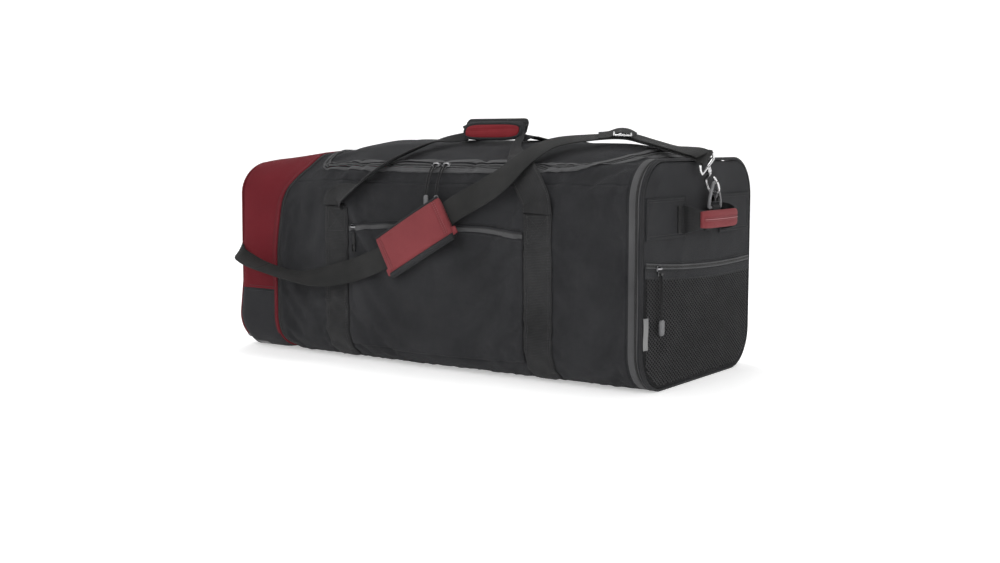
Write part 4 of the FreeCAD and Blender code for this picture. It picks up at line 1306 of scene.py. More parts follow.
def end_handle():
    foot, bow = 66.0, 34.0
    x = HALF_LENGTH
    route = [(x + 2.6, -foot - 14), (x + 3.4, -foot), (x + 14, -foot - 1), (x + 27, -60), (x + bow - 1, -44),
             (x + bow + 1, -16), (x + bow + 1, 16), (x + bow - 1, 44), (x + 27, 60), (x + 14, foot + 1),
             (x + 3.4, foot), (x + 2.6, foot + 14)]
    wide = [40, 42, 38, 30, 26, 25, 25, 26, 30, 38, 42, 40]
    data = resample([(a, b, 247.0) for a, b in route], 3.0, extra=[np.array(wide)[:, None]])
    path = data[:, :3]
    t = tangents(path)
    out = unit(np.stack([t[:, 1], -t[:, 0], t[:, 2] * 0], 1))
    side = np.cross(t, out)
    profile = np.array([flat_profile(w, 1.8, 0.7, -0.9) for w in data[:, 3]])
    shape = Shape()
    shape.sweep(path, side, out, profile)
    obj = shape.build("end_handle_web", [M["webbing"]])
    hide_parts("end_handle_webbing")
    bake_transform(obj)

    grip = Shape()
    keep = (np.abs(path[:, 1]) < 59) & (path[:, 0] > x + 20)
    line, o, s = path[keep], out[keep], side[keep]
    n = len(line)
    along = np.linspace(-1, 1, n)
    rows = []
    for k in range(n):
        pinch = 1 - 0.10 * abs(along[k]) ** 8
        groove = 1 - 0.10 * math.exp(-((abs(along[k]) - 0.9) / 0.03) ** 2)
        half = 13.2 * pinch
        thick = 4.6 * pinch * groove
        a = np.linspace(0, 2 * math.pi, 29)[:-1]
        c, v = np.cos(a), np.sin(a)
        seam = 1 - 0.26 * np.exp(-(c / 0.055) ** 2) * (v > 0)
        rows.append(np.stack([half * np.sign(c) * np.abs(c) ** 0.55,
                              thick * np.sign(v) * np.abs(v) ** 0.62 * seam], 1))
    grip.sweep(line, s, o, np.array(rows))
    obj = grip.build("end_handle_grip_wrap", [M["pad_red"]])
    inflate(obj, 1.0, 1.2)
    place(obj, "end_handle", "grip_red", ["end_handle_grip"])
    marks = Shape()
    marks.sweep(line[2:-2] + o[2:-2] * 3.9, s[2:-2], o[2:-2], flat_profile(1.5, 0.9, 0.4))
    for offset in (-2.4, 2.4):
        stitches(marks, line[2:-2] + s[2:-2] * offset, o[2:-2], 0, lift=4.2, r=0.3, pitch=3.4, length=2.4)
    obj = marks.build("end_handle_grip_stitching", [M["red_thread"]])
    place(obj, "end_handle", "grip_red")


def inflate(obj, pressure, cap, frames_run=14):
    """Cloth simulation of a padded piece: it swells by at most cap millimetres."""
    before = np.zeros(len(obj.data.vertices) * 3)
    obj.data.vertices.foreach_get("co", before)
    mod = obj.modifiers.new("cloth", "CLOTH")
    cloth = mod.settings
    cloth.quality = 4
    cloth.mass = 0.2
    cloth.use_pressure = True
    cloth.uniform_pressure_force = pressure
    cloth.tension_stiffness = cloth.compression_stiffness = 25
    cloth.bending_stiffness = 0.8
    cloth.effector_weights.gravity = 0
    pins = obj.vertex_groups.new(name="pins")
    pins.add(list(range(len(obj.data.vertices))), 0.35, "REPLACE")
    cloth.vertex_group_mass = "pins"
    mod.collision_settings.use_self_collision = False
    scene = bpy.context.scene
    mod.point_cache.frame_start, mod.point_cache.frame_end = 1, frames_run
    for step in range(1, frames_run + 1):
        scene.frame_set(step)
    moved = obj.evaluated_get(bpy.context.evaluated_depsgraph_get()).to_mesh()
    after = np.zeros(len(before))
    moved.vertices.foreach_get("co", after)
    obj.modifiers.clear()
    shift = (after - before).reshape(-1, 3) * 1000
    reach = np.linalg.norm(shift, axis=1, keepdims=True)
    shift *= np.tanh(reach / cap) * cap / np.maximum(reach, 1e-6)
    obj.data.vertices.foreach_set("co", (before + shift.ravel() * 0.001).astype(np.float32))
    obj.vertex_groups.clear()
    obj.data.update()
    scene.frame_set(1)


wheel_box()
pocket_end()
end_handle()


# ---- small hardware meshes ------------------------------------------------------
def plate(shape, outline, low, high, origin, axes, mat=0, edge=0.5):
    """Flat moulded plate with softened edges; the outline is convex, in the axes' plane."""
    outline = np.asarray(outline, float)
    ax, ay, az = (np.asarray(a, float) for a in axes)
    centre = outline.mean(0)
    arm = outline - centre
    size = np.maximum(np.linalg.norm(arm, axis=1, keepdims=True), 1e-6)
    inner = centre + arm * np.maximum(1 - edge / size, 0.2)
    half = centre + arm * np.maximum(1 - 0.3 * edge / size, 0.2)
    rings = [(inner, low), (half, low + 0.3 * edge), (outline, low + edge), (outline, high - edge),
             (half, high - 0.3 * edge), (inner, high)]
    pts = [np.asarray(origin, float) + o[:, :1] * ax + o[:, 1:] * ay + h * az for o, h in rings]
    first, m = shape.count, len(outline)
    shape.grid(np.array(pts), close_v=True, mat=mat, flip=True)
    for start, order in ((first, 1), (first + 5 * m, -1)):
        ids = list(range(start, start + m))[::order]
        shape.faces.append(ids)
        shape.uvs.append([(0.001 * k, 0) for k in range(m)])
        shape.mats.append(mat)


def tablet(half_x, half_y, r, n=5):
    """Rounded rectangle outline."""
    pts = []
    for cx, cy, start in ((half_x - r, half_y - r, 0), (-half_x + r, half_y - r, 90),
                          (-half_x + r, -half_y + r, 180), (half_x - r, -half_y + r, 270)):
        for k in range(n):
            a = math.radians(start + 90 * k / (n - 1))
            pts.append((cx + r * math.cos(a), cy + r * math.sin(a)))
    return np.array(pts)


def tube(shape, points, r, mat=0, m=10, step=1.2, closed=False, squash=1.0, out=None):
    """Round bar along a smooth line."""
    path = resample(points, step, closed)[:, :3]
    t = tangents(path, closed)
    if out is None:
        pole = np.array([0.31, 0.52, 0.79])
        out = np.tile(pole, (len(path), 1))
        near = np.abs((t * pole).sum(1)) > 0.95
        out[near] = (0.9, -0.3, 0.1)
    else:
        out = np.tile(np.asarray(out, float), (len(path), 1))
    side, out = frames(path, out, closed)
    shape.sweep(path, side, out, round_profile(r, m, squash), closed, mat)


def slider(shape, origin, x_dir, normal, mat=0, post=True):
    """Zip slider: upper shield, bridge, and a lug that may carry the pull's post."""
    ax, az = unit(np.asarray(x_dir, float)), unit(np.asarray(normal, float))
    ay = np.cross(az, ax)
    axes = (ax, ay, az)
    wedge = np.array([(7, 1.6), (6.2, 3.4), (2.5, 4.4), (-5, 4.0), (-6.6, 2.6), (-7, 0.8),
                      (-7, -0.8), (-6.6, -2.6), (-5, -4.0), (2.5, -4.4), (6.2, -3.4), (7, -1.6)])
    plate(shape, wedge, 0.5, 2.3, origin, axes, mat, 0.5)
    o = np.asarray(origin, float)

    def at(x, y, z):
        return o + ax * x + ay * y + az * z

    tube(shape, [at(-5, 0, 1.8), at(-4.2, 0, 3.6), at(-1.5, 0, 4.4), at(2, 0, 4.3), at(4.6, 0, 3.2),
                 at(5.2, 0, 1.8)], 1.0, mat, 8, 0.8, squash=1.6, out=ay)
    plate(shape, tablet(2.6, 3.6, 1.6) + (0, -7.0), 0.9, 2.2, origin, axes, mat, 0.4)
    if post:
        tube(shape, [at(0, -8.5, 1.2), at(0, -8.5, 4), at(0, -8.5, 7.2)], 0.8, mat, 8, 1.0, out=ax)
        plate(shape, tablet(1.9, 1.9, 1.8), 6.7, 7.8, at(0, -8.5, 0), axes, mat, 0.4)


def cord_loop(name, node, points, radius, body):
    """Free cord as a smooth curve led by given points, in metres."""
    curve = bpy.data.curves.new(name, "CURVE")
    curve.dimensions = "3D"
    curve.bevel_depth = radius
    curve.bevel_resolution = 3
    spline = curve.splines.new("NURBS")
    spline.points.add(len(points) - 1)
    for p, co in zip(spline.points, points):
        p.co = (*co, 1)
    spline.order_u = 3
    spline.use_endpoint_u = True
    spline.resolution_u = 8
    curve.materials.append(M["cord"])
    obj = bpy.data.objects.new(name, curve)
    bpy.context.scene.collection.objects.link(obj)
    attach(obj, body)
    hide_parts(node)


# ---- sewn webbing and the front pocket ------------------------------------------
def strips():
    runs = spaced(-277.0, -18.0, 4)
    for name, sign in (("front_webbing", -1), ("back_webbing", 1)):
        shape, marks = Shape(), Shape()

        def at(run):
            return np.asarray(run, float) if sign < 0 else 2 * MID - np.asarray(run, float)

        for x in STRIP_XS:
            xs = x + np.array([-25, -24.2, -20, -13, -6.5, 0, 6.5, 13, 20, 24.2, 25])
            swell = np.array([1.5, 2.0, 2.3, 2.3, 2.3, 2.3, 2.3, 2.3, 2.3, 2.0, 1.5])
            order = runs if sign < 0 else runs[::-1]
            skin_patch(shape, xs, at(order), swell[:, None] + 0 * order[None])
            for dx in (-21.5, -18.5, 18.5, 21.5):
                path, out = skin(np.full(len(runs), x + dx), at(runs), 2.4)
                stitches(marks, path, out, 0)
            low, high = -58.0, -22.0
            corners = [(-18, low), (18, low), (18, high), (-18, high), (-18, low), (18, high), (18, low),
                       (-18, high)]
            for (xa, ra), (xb, rb) in zip(corners, corners[1:]):
                t = np.linspace(0, 1, 24)
                path, out = skin(x + xa + (xb - xa) * t, at(ra + (rb - ra) * t), 2.4)
                stitches(marks, path, out, 0, pitch=3.4, length=2.5, r=0.42)
        obj = shape.build(name + "_strips", [M["webbing"]], thick=1.9)
        place(obj, "bag", "webbing", [name], True)
        obj = marks.build(name + "_stitching", [M["thread"]])
        place(obj, "bag", "webbing", soft=True)


def pocket_zip_run(x):
    bend = np.where(x < 30, 12.0, 11.0)
    return -42.0 + 5 - bend * ((x - 30) / 158.0) ** 2


def front_pocket():
    x0, x1 = STRIP_XS[0] + 26, STRIP_XS[1] - 26
    xs = spaced(x0, x1, 4.0)
    t = np.concatenate([np.linspace(0, 0.06, 5), np.linspace(0.06, 1, 46)[1:]])
    low = np.full(len(xs), -245.0)
    high = pocket_zip_run(xs) - 6.6
    gr = low[:, None] + (high - low)[:, None] * t[None]
    gx = np.broadcast_to(xs[:, None], gr.shape)
    side = np.clip(np.minimum(gx - x0, x1 - gx) / 16, 0, 1)
    ends = np.clip((gr + 245.0) / 16, 0, 1) * np.clip((high[:, None] - gr) / 10 + 0.25, 0, 1)
    puff = 1.3 + 3.0 * np.sqrt(side * (2 - side)) * np.sqrt(ends * (2 - np.minimum(ends, 1)))
    for spot, angle, long, wide, height in (
            ((-60, -90), 20, 90, 16, 1.0), ((90, -110), -30, 100, 18, 1.1), ((0, -190), 8, 110, 18, 1.0),
            ((150, -190), 60, 70, 16, 1.2), ((-110, -180), 70, 70, 14, 0.9), ((60, -60), 0, 90, 10, -1.3)):
        puff = puff + ridge(gx, gr, spot, angle, long, wide, height) * side
    points, _ = skin(gx, gr, puff)
    shape = Shape()
    shape.grid(points, np.stack([gx, gr], -1) * 0.001)
    obj = shape.build("front_pocket_cloth", [M["black"]], thick=1.2)
    place(obj, "bag", "black_fabric", ["front_pocket_panel"], True)

    line = Shape()
    zx = spaced(x0 + 0.5, x1 - 0.5, 3)
    path, out = skin(zx, pocket_zip_run(zx), 1.4)
    side_dir, out = frames(path, out)
    line.sweep(path + side_dir * 3.6, side_dir, out, flat_profile(7.2, 0.9, 0.4, 0.6), mat=0)
    line.sweep(path - side_dir * 2.6, side_dir, out, flat_profile(3.0, 0.9, 0.4, 0.4), mat=2)
    line.sweep(path, side_dir, out, flat_profile(3.4, 0.6, 0.2, 0.2), mat=1)
    obj = line.build("front_pocket_zip_line", [M["tape"], M["coil"], M["black"]])
    place(obj, "pocket_zip", "zip_tape", ["front_pocket_zip"], True)

    marks = Shape()
    for offset in (-10.5, 6.0):
        path, out = skin(zx, pocket_zip_run(zx) + offset, 3.4 if offset < 0 else 0.3)
        stitches(marks, path, out, 0)
    path, out = skin(zx, np.full(len(zx), -241.0), 2.6)
    stitches(marks, path, out, 0)
    obj = marks.build("front_pocket_stitching", [M["thread"]])
    place(obj, "bag", "black_fabric", soft=True)

    metal = Shape()
    sx = -127.0
    spot, normal = skin(arr(sx), pocket_zip_run(arr(sx)), arr(0.8))
    slider(metal, spot[0], (1, 0, 0), normal[0], post=False)
    obj = metal.build("front_pocket_slider_metal", [M["slider"]])
    place(obj, "pocket_slider", "zip_slider", ["front_pocket_slider"])
    tab = Shape()
    pull = spot[0] + np.array([(0, -2.6, -9.6), (0.2, -3.0, -14), (0.5, -3.4, -24), (0.3, -3.4, -34),
                               (0, -3.0, -41)])
    path = resample(pull, 1.5)[:, :3]
    side_dir, out = frames(path, np.tile((0, -1.0, 0), (len(path), 1)))
    s = np.linspace(0, 1, len(path))
    wide = 4.2 + 2.0 * np.clip((s - 0.1) / 0.25, 0, 1) - 1.6 * np.clip((s - 0.93) / 0.07, 0, 1)
    tab.sweep(path, side_dir, out, np.array([flat_profile(w, 2.0, 0.8, -1.0) for w in wide]))
    plate(tab, tablet(3.4, 6.5, 1.6), -1.4, 1.5, spot[0] + np.array([0.2, -3.2, -35]),
          ((1, 0, 0), (0, 0, 1), (0, -1, 0)), 1, 0.6)
    obj = tab.build("front_pocket_pull_tab", [M["cord"], M["coil"]])
    place(obj, "pocket_pull", "pull_cord", ["front_pocket_pull"])


# ---- carrying handles -------------------------------------------------------------
# the front handle's left side, turned on its edge: place, outward vector, width
LEFT_LEG = [
    (-167, -182.8, 257, 0, -1, 0, 50), (-165, -184, 266, 0, -1, 0.1, 49),
    (-150, -187, 276, -0.25, -0.85, 0.45, 42), (-120, -187, 287, -0.45, -0.45, 0.77, 32),
    (-90, -178, 311, -0.5, -0.25, 0.83, 27), (-66, -148, 334, -0.5, -0.25, 0.83, 26),
    (-40, -108, 354, -0.45, -0.3, 0.84, 24), (-22, -84, 363, -0.3, -0.5, 0.8, 20),
]


def handles():
    tilt = unit(arr(0, 14, 30))
    facing = np.array([0, -tilt[2], tilt[1]])
    front_mid = arr(GRIP_X + 12, -62, 378.5)
    back_shift = arr(-6, 17, 5)
    for name, sign, middle, reach in (("handle_front", -1, front_mid, 134),
                                      ("handle_back", 1, front_mid + back_shift, 215)):
        web, marks = Shape(), Shape()
        for x, way in zip(STRIP_XS, (-1, 1)):
            end_x = middle[0] + way * 62
            runs = [-17, 0, 16, 34, 57, 80, 105, reach] if sign < 0 else \
                [-17, 0, 16, 34, 57, 85, 125, 165, reach]
            pts, outs, wides = [], [], []
            for run in runs:
                t = min(1, max(0, run - 6) / (reach - 6.0))
                px = x + (end_x - x) * t * (1.25 - 0.25 * t)
                at = run if sign < 0 else 2 * MID - run
                rise = math.sin(min(1, max(0, (run - 10) / 60)) * math.pi / 2)
                lift = 3.0 + (2.0 if sign < 0 else -0.8) * rise
                p, n = skin(arr(px), arr(at), arr(lift))
                pts.append(p[0])
                outs.append(n[0])
                wides.append(50.0 - (34.0 if sign < 0 else 16.0) * max(0, t - 0.2) / 0.8)
            if sign < 0 and way < 0:
                pts = [p[:3] for p in LEFT_LEG]
                outs = [unit(arr(*p[3:6])) for p in LEFT_LEG]
                wides = [p[6] for p in LEFT_LEG]
            root = middle - tilt * 10
            last = 16.0 if sign < 0 else 30.0
            pts.append((end_x - way * 6, root[1] - 2, root[2] - 1))
            outs.append(facing)
            wides.append(last)
            pts.append((end_x - way * 14, root[1] + 2, root[2] + 8))
            outs.append(facing)
            wides.append(last - 2)
            data = resample(np.array(pts), 3.0, extra=[np.array(outs), np.array(wides)[:, None]])
            path, out, wide = data[:, :3], data[:, 3:6], data[:, 6]
            # webbing faces outwards, square to its own path
            t = tangents(path)
            out = unit(out - t * (out * t).sum(1, keepdims=True))
            side = np.cross(t, out)
            web.sweep(path, side, out, np.array([flat_profile(w, 1.9, 0.8, -0.9) for w in wide]))
            for dx in (-21.5, 21.5):
                stitches(marks, (path + side * dx * (wide / 50)[:, None])[:-12], out[:-12], 0, lift=1.2)
        ends = np.array([middle + (dx, 0, 0) for dx in (-56, -30, 30, 56)], float)
        path = resample(ends, 4)[:, :3]
        n = len(path)
        side = np.tile(tilt, (n, 1))
        out = np.tile(facing, (n, 1))
        web.sweep(path, side, out, flat_profile(30, 1.9, 0.8, -0.9))
        obj = web.build(name + "_straps", [M["webbing"]])
        place(obj, name, "webbing", [name + "_webbing"], True)
        obj = marks.build(name + "_stitching", [M["thread"]])
        place(obj, name, "webbing", soft=True)

    # padded grip: black sleeve round the webbing, red lining on the side that is seen
    xs = np.linspace(-60, 60, 60)

    def cushion(tall, thick, crease=0.0):
        rows = []
        for dx in np.linspace(-1, 1, 60):
            e = max(0.0, 1 - abs(dx) ** 4) ** (1 / 4)
            e = max(e, 0.12)
            a = np.linspace(0, 2 * math.pi, 45)[:-1]
            c, v = np.cos(a), np.sin(a)
            fold = 1 - crease * np.exp(-((c - 0.10 - 0.12 * math.sin(dx * 2.2)) / 0.09) ** 2) * (v > 0) * e
            rows.append(np.stack([tall * e * np.sign(c) * np.abs(c) ** 0.72,
                                  thick * (0.4 + 0.6 * e) * np.sign(v) * np.abs(v) ** 0.75 * fold], 1))
        return np.array(rows)

    side = np.tile(tilt, (60, 1))
    out = np.tile(facing, (60, 1))
    sleeve = Shape()
    path = front_mid + np.linspace(-59, 59, 60)[:, None] * arr(1, 0, 0) - facing * 0.5
    sleeve.sweep(path, side, out, cushion(16.6, 4.8))
    obj = sleeve.build("handle_grip_sleeve", [M["black_piping"]])
    place(obj, "handle_front", "red_fabric", ["handle_grip_wrap"], True)
    grip = Shape()
    path = front_mid + np.linspace(-52, 52, 60)[:, None] * arr(1, 0, 0) + facing * 2.4 - tilt * 2.8
    grip.sweep(path, side, out, cushion(11.8, 5.0, 0.34))
    obj = grip.build("handle_grip_pad", [M["grip_red"]])
    inflate(obj, 1.0, 1.0)
    place(obj, "handle_front", "red_fabric", soft=True)
    edge = Shape()
    outline = []
    for k in np.linspace(0, 2 * math.pi, 140)[:-1]:
        c, v = math.cos(k), math.sin(k)
        outline.append((54.5 * math.copysign(abs(c) ** 0.5, c),
                        12.8 * math.copysign(abs(v) ** 0.6, v) - 2.2))
    outline = np.array(outline)
    path = front_mid + outline[:, :1] * arr(1, 0, 0) + outline[:, 1:] * tilt + facing * 3.2
    away = unit(outline[:, :1] * arr(0.25, 0, 0) + outline[:, 1:] * tilt + facing * 8)
    edge_side, away = frames(path, away, True)
    swell = np.array([round_profile(2.6 if up > 6 else 1.5, 10, 1.2) for up in outline[:, 1]])
    edge.sweep(path, edge_side, away, swell, True)
    obj = edge.build("handle_grip_binding", [M["black_piping"]])
    place(obj, "handle_front", "red_fabric", soft=True)
    # back handle's own black sleeve
    sleeve = Shape()
    mid = front_mid + back_shift
    rows = []
    for dx in xs:
        e = min(abs(dx) / 60, 1)
        k = 0.6 + 0.4 * math.sqrt(max(0, 1 - max(0, (e - 0.85) / 0.15) ** 2))
        rows.append(flat_profile(31 * k, 4.6, 2.0, -2.3))
    path = mid + xs[:, None] * arr(1, 0, 0) + facing * 1.0
    sleeve.sweep(path, side, out, np.array(rows))
    obj = sleeve.build("handle_back_sleeve", [M["webbing"]])
    place(obj, "handle_back", "webbing", soft=True)


# ---- shoulder strap ---------------------------------------------------------------
HOOKS = {"pocket_end": (arr(419, 17.9, 284.2), arr(0, 0.515, -0.857)),
         "wheel_end": (arr(-419, 9.3, 269.2), arr(0, 0.921, 0.39))}
HOOK_REACH, EYE_BAR, EYE_HALF, RING_Y, RING_Z = 53.0, 7.0, 23.5, 20.0, 262.0
STRAP_WIDTH = 38.0
PAN_X = 381           # strap parts beyond this ride with the pocket end
STRAP_ROUTE = [
    (398, -18, 342.5, 0.1, -0.3, 1), (370, -26, 348.5, 0, -0.15, 1), (335, -38, 359, 0, -0.15, 1),
    (300, -54, 368, 0, -0.2, 1), (255, -78, 366.5, 0, -0.3, 1), (216, -110, 360, 0, -0.45, 0.9),
    (200, -142, 346, 0, -0.6, 0.8), (188, -169, 328, 0, -0.75, 0.66),
    (172, -186, 307, 0, -0.93, 0.37), (142, -191, 287, 0, -1, 0.1), (91, -191, 262, 0, -1, 0),
    (57, -191, 241, 0, -1, 0), (10, -191, 214, 0, -1, 0), (-54, -191, 179, 0, -1, 0),
    (-86, -191, 165, 0, -1, 0), (-129, -191, 151, 0, -1, 0.1), (-173, -192, 141, 0, -0.9, 0.4),
    (-205, -196, 137, 0, -0.7, 0.71), (-245, -199, 137, 0, -0.35, 0.93),
    (-285, -200, 142, 0, -0.2, 0.98), (-330, -200, 151, -0.05, -0.2, 0.98),
    (-362, -197, 160, -0.2, -0.25, 0.96), (-385, -188, 167, -0.5, -0.4, 0.75),
    (-402, -165, 177, -0.85, -0.35, 0.4), (-416, -124, 196, -1, 0, 0.1),
    (-428, -85, 222, -1, 0, 0), (-425, -60, 238, -1, 0, 0),
]


def around_eye(prefix, angles, wrap=3.4):
    bend, down = HOOKS[prefix]
    down = unit(down)
    bar = bend - down * (HOOK_REACH + EYE_BAR)
    sign = math.copysign(1, bend[0])
    stops = []
    for degrees in angles:
        a = math.radians(degrees)
        normal = arr(sign * math.cos(a), 0, 0) - down * math.sin(a)
        stops.append((*(bar + normal * wrap), *normal))
    return stops


def strap_piece(name, data, body, replaces=(), soft=False):
    shape = Shape()
    path, out = data[:, :3], unit(data[:, 3:6])
    side = unit(np.cross(data[:, 6:9], out)) if data.shape[1] > 6 else None
    if side is None:
        side, out = frames(path, out)
    # it bunches up where it turns the corner of the wheel box
    turn = np.exp(-((path[:, 0] + 396) / 34) ** 2) * (path[:, 1] < -90)
    rows = np.array([flat_profile(STRAP_WIDTH * (1 - 0.42 * k), 1.9 + 2.0 * k, 0.8, -0.95) for k in turn])
    shape.sweep(path, side, out, rows)
    obj = shape.build(name, [M["strap"]])
    place(obj, body, "strap_webbing", replaces, soft)


def shoulder_strap():
    stops = around_eye("pocket_end", (-110, -60, -10, 40, 90)) + STRAP_ROUTE
    stops += around_eye("wheel_end", (10, -40, -90, -140, -190))
    stops = np.array(stops)
    data = resample(stops[:, :3], 3.0, extra=[stops[:, 3:6]])
    _, out = frames(data[:, :3], unit(data[:, 3:6]))
    data = np.concatenate([data[:, :3], out, tangents(data[:, :3])], 1)
    x = data[:, 0]
    first = np.argmax(x < PAN_X)
    last = len(x) - np.argmax(x[::-1] > RIM_X)
    strap_piece("shoulder_strap_hook_part", data[:first + 1], "end_pan")
    strap_piece("shoulder_strap_middle", data[first:last + 1], "strap", ["shoulder_strap"], True)
    strap_piece("shoulder_strap_wheel_part", data[last:], "bag")
    marks = Shape()
    # four rows of stitches across the wheel side of the strap
    tail = data[last + 20:-12]
    path, out = tail[:, :3], unit(tail[:, 3:6])
    side, out = frames(path, out)
    for k in (6, 9, 22, 25):
        if k < len(path):
            row = path[k] + side[k] * np.linspace(-15, 15, 12)[:, None]
            stitches(marks, row, np.tile(out[k], (12, 1)), 0, lift=1.3)
    obj = marks.build("shoulder_strap_stitching", [M["thread"]])
    place(obj, "bag", "strap_webbing")

    # second layer from the hook back to the slider, above the first
    upper = np.array([(417.6, -16.5, 341.2, 0.5, -0.3, 0.9), (407, -16.5, 345.4, 0.25, -0.3, 1),
                      (390, -20, 347.8, 0.1, -0.25, 1), (372, -26, 351.4, 0, -0.15, 1),
                      (345, -35, 359.4, 0, -0.15, 1), (322, -44, 366.4, 0, -0.2, 1),
                      (311, -50, 370.6, 0, -0.2, 1)])
    data2 = resample(upper[:, :3], 3.0, extra=[upper[:, 3:6]])
    cut = np.argmax(data2[:, 0] < PAN_X)
    strap_piece("strap_upper_layer_end", data2[:cut + 2], "end_pan")
    strap_piece("strap_upper_layer", data2[cut:], "strap", soft=True)

    hump = np.array([(317, -47, 369.6, 0, -0.2, 1), (308, -51, 375.4, 0, -0.2, 1),
                     (300, -54.5, 377.6, 0, -0.2, 1), (292, -58, 376.2, 0, -0.25, 1),
                     (282, -63, 371.6, 0, -0.3, 1), (268, -71, 370.0, 0, -0.3, 1)])
    data3 = resample(hump[:, :3], 2.0, extra=[hump[:, 3:6]])
    strap_piece("strap_over_slider", data3, "strap", soft=True)

    frame = Shape()
    along = unit(arr(-35, -20, 2))
    normal = arr(0, -0.2, 1)
    normal = unit(normal - along * normal.dot(along))
    across = np.cross(normal, along)
    middle = arr(300, -54, 369.6) + normal * 4

    def at(a, b, c=0.0):
        return middle + along * a + across * b + normal * c

    loop = tablet(12.6, 21.6, 3.0)
    path = np.array([at(a, b) for a, b in loop])
    path = resample(path, 1.5, True)[:, :3]
    side, out = frames(path, np.tile(normal, (len(path), 1)), True)
    frame.sweep(path, side, out, flat_profile(3.0, 2.8, 1.0, -1.4), True)
    bar = np.array([at(0, b) for b in np.linspace(-21, 21, 12)])
    side, out = frames(bar, np.tile(normal, (len(bar), 1)))
    frame.sweep(bar, side, out, flat_profile(3.6, 2.8, 1.0, -1.4))
    obj = frame.build("strap_slide_buckle", [M["steel"]])
    place(obj, "adjuster", "steel", ["strap_adjuster"])
    pad()


def pad():
    slope = math.atan2(62, 111)             # the strap's slope under the pad
    along = arr(math.cos(slope), 0, math.sin(slope))
    across = arr(-math.sin(slope), 0, math.cos(slope))
    normal = arr(0, -1.0, 0)
    origin = arr(10, -192.6, 214)
    n, m = 64, 56
    rows = []
    ts = np.linspace(-1, 1, n)
    for t in ts:
        end = math.sqrt(max(0, 1 - max(0, (abs(t) - 0.94) / 0.06) ** 2))
        half = 31.0 - 0.8 * (1 - end) - 0.6 * math.sin(t * 1.5) ** 2
        a = np.linspace(0, 2 * math.pi, m + 1)[:-1]
        c, v = np.cos(a), np.sin(a)
        seam = 0.0
        for spot in (-0.90, -0.84, 0.84, 0.90):
            seam += math.exp(-((t - spot) / 0.012) ** 2)
        face = np.where(v > 0, 5.6 * (0.35 + 0.65 * end) * (1 - 0.30 * seam), 5.2)
        rows.append(np.stack([half * np.sign(c) * np.abs(c) ** 0.42,
                              5.5 + face * np.sign(v) * np.abs(v) ** 0.62], 1))
    path = origin + ts[:, None] * 71.5 * along
    path = path + normal * (0.9 * np.sin(ts * 2.4 + 0.6) - 0.4)[:, None]
    side = np.tile(across, (n, 1))
    out = np.tile(normal, (n, 1))
    body = Shape()
    body.sweep(path, side, out, np.array(rows))
    for k, face in enumerate(body.faces):
        j = [i % m for i in face]
        a = 2 * math.pi * (min(j) + 0.5) / m
        red = math.sin(a) > 0.02 and not (math.cos(a) < -0.985)
        body.mats[k] = 0 if red else 1
    obj = body.build("strap_pad_cushion", [M["pad_red"], M["strap"]])
    inflate(obj, 1.2, 1.6)
    place(obj, "pad", "pad_red", ["strap_pad"], True)

    trim = Shape()
    for edge, r, lift in ((31.0, 2.5, 6.2), (-34.5, 5.4, 4.6)):
        s = np.linspace(-70.5, 70.5, 60)
        bow = lift + 0.9 * np.sin(s / 75 * 2.4 + 0.6) - 0.4
        line = origin + s[:, None] * along + across * edge + normal * bow[:, None]
        side2, out2 = frames(line, np.tile(normal, (len(s), 1)))
        trim.sweep(line, side2, out2, round_profile(r, 10, 1.2))
    obj = trim.build("strap_pad_binding", [M["black_piping"]])
    place(obj, "pad", "pad_red", soft=True)
    marks = Shape()
    for s in (-64.6, -60.4, 60.4, 64.6):
        line = origin + along * s + across * np.linspace(-27, 27, 30)[:, None] + normal * 9.2
        stitches(marks, line, np.tile(normal, (30, 1)), 0, lift=0.9, r=0.42, pitch=3.4, length=2.4)
    obj = marks.build("strap_pad_stitching", [M["red_thread"]])
    place(obj, "pad", "pad_red", soft=True)
    tails = Shape()
    for way in (-1, 1):
        s = np.array([66, 71, 75, 78]) * way
        line = origin + s[:, None] * along - across * 27 + normal * np.array([5.0, 4.4, 3.4, 2.6])[:, None]
        line = resample(line, 1.5)[:, :3]
        side2, out2 = frames(line, np.tile(normal, (len(line), 1)))
        wide = np.linspace(15, 11, len(line))
        tails.sweep(line, side2, out2, np.array([flat_profile(w, 2.0, 0.9, -1) for w in wide]))
    obj = tails.build("strap_pad_tails", [M["pad_red"]])
    place(obj, "pad", "pad_red", soft=True)


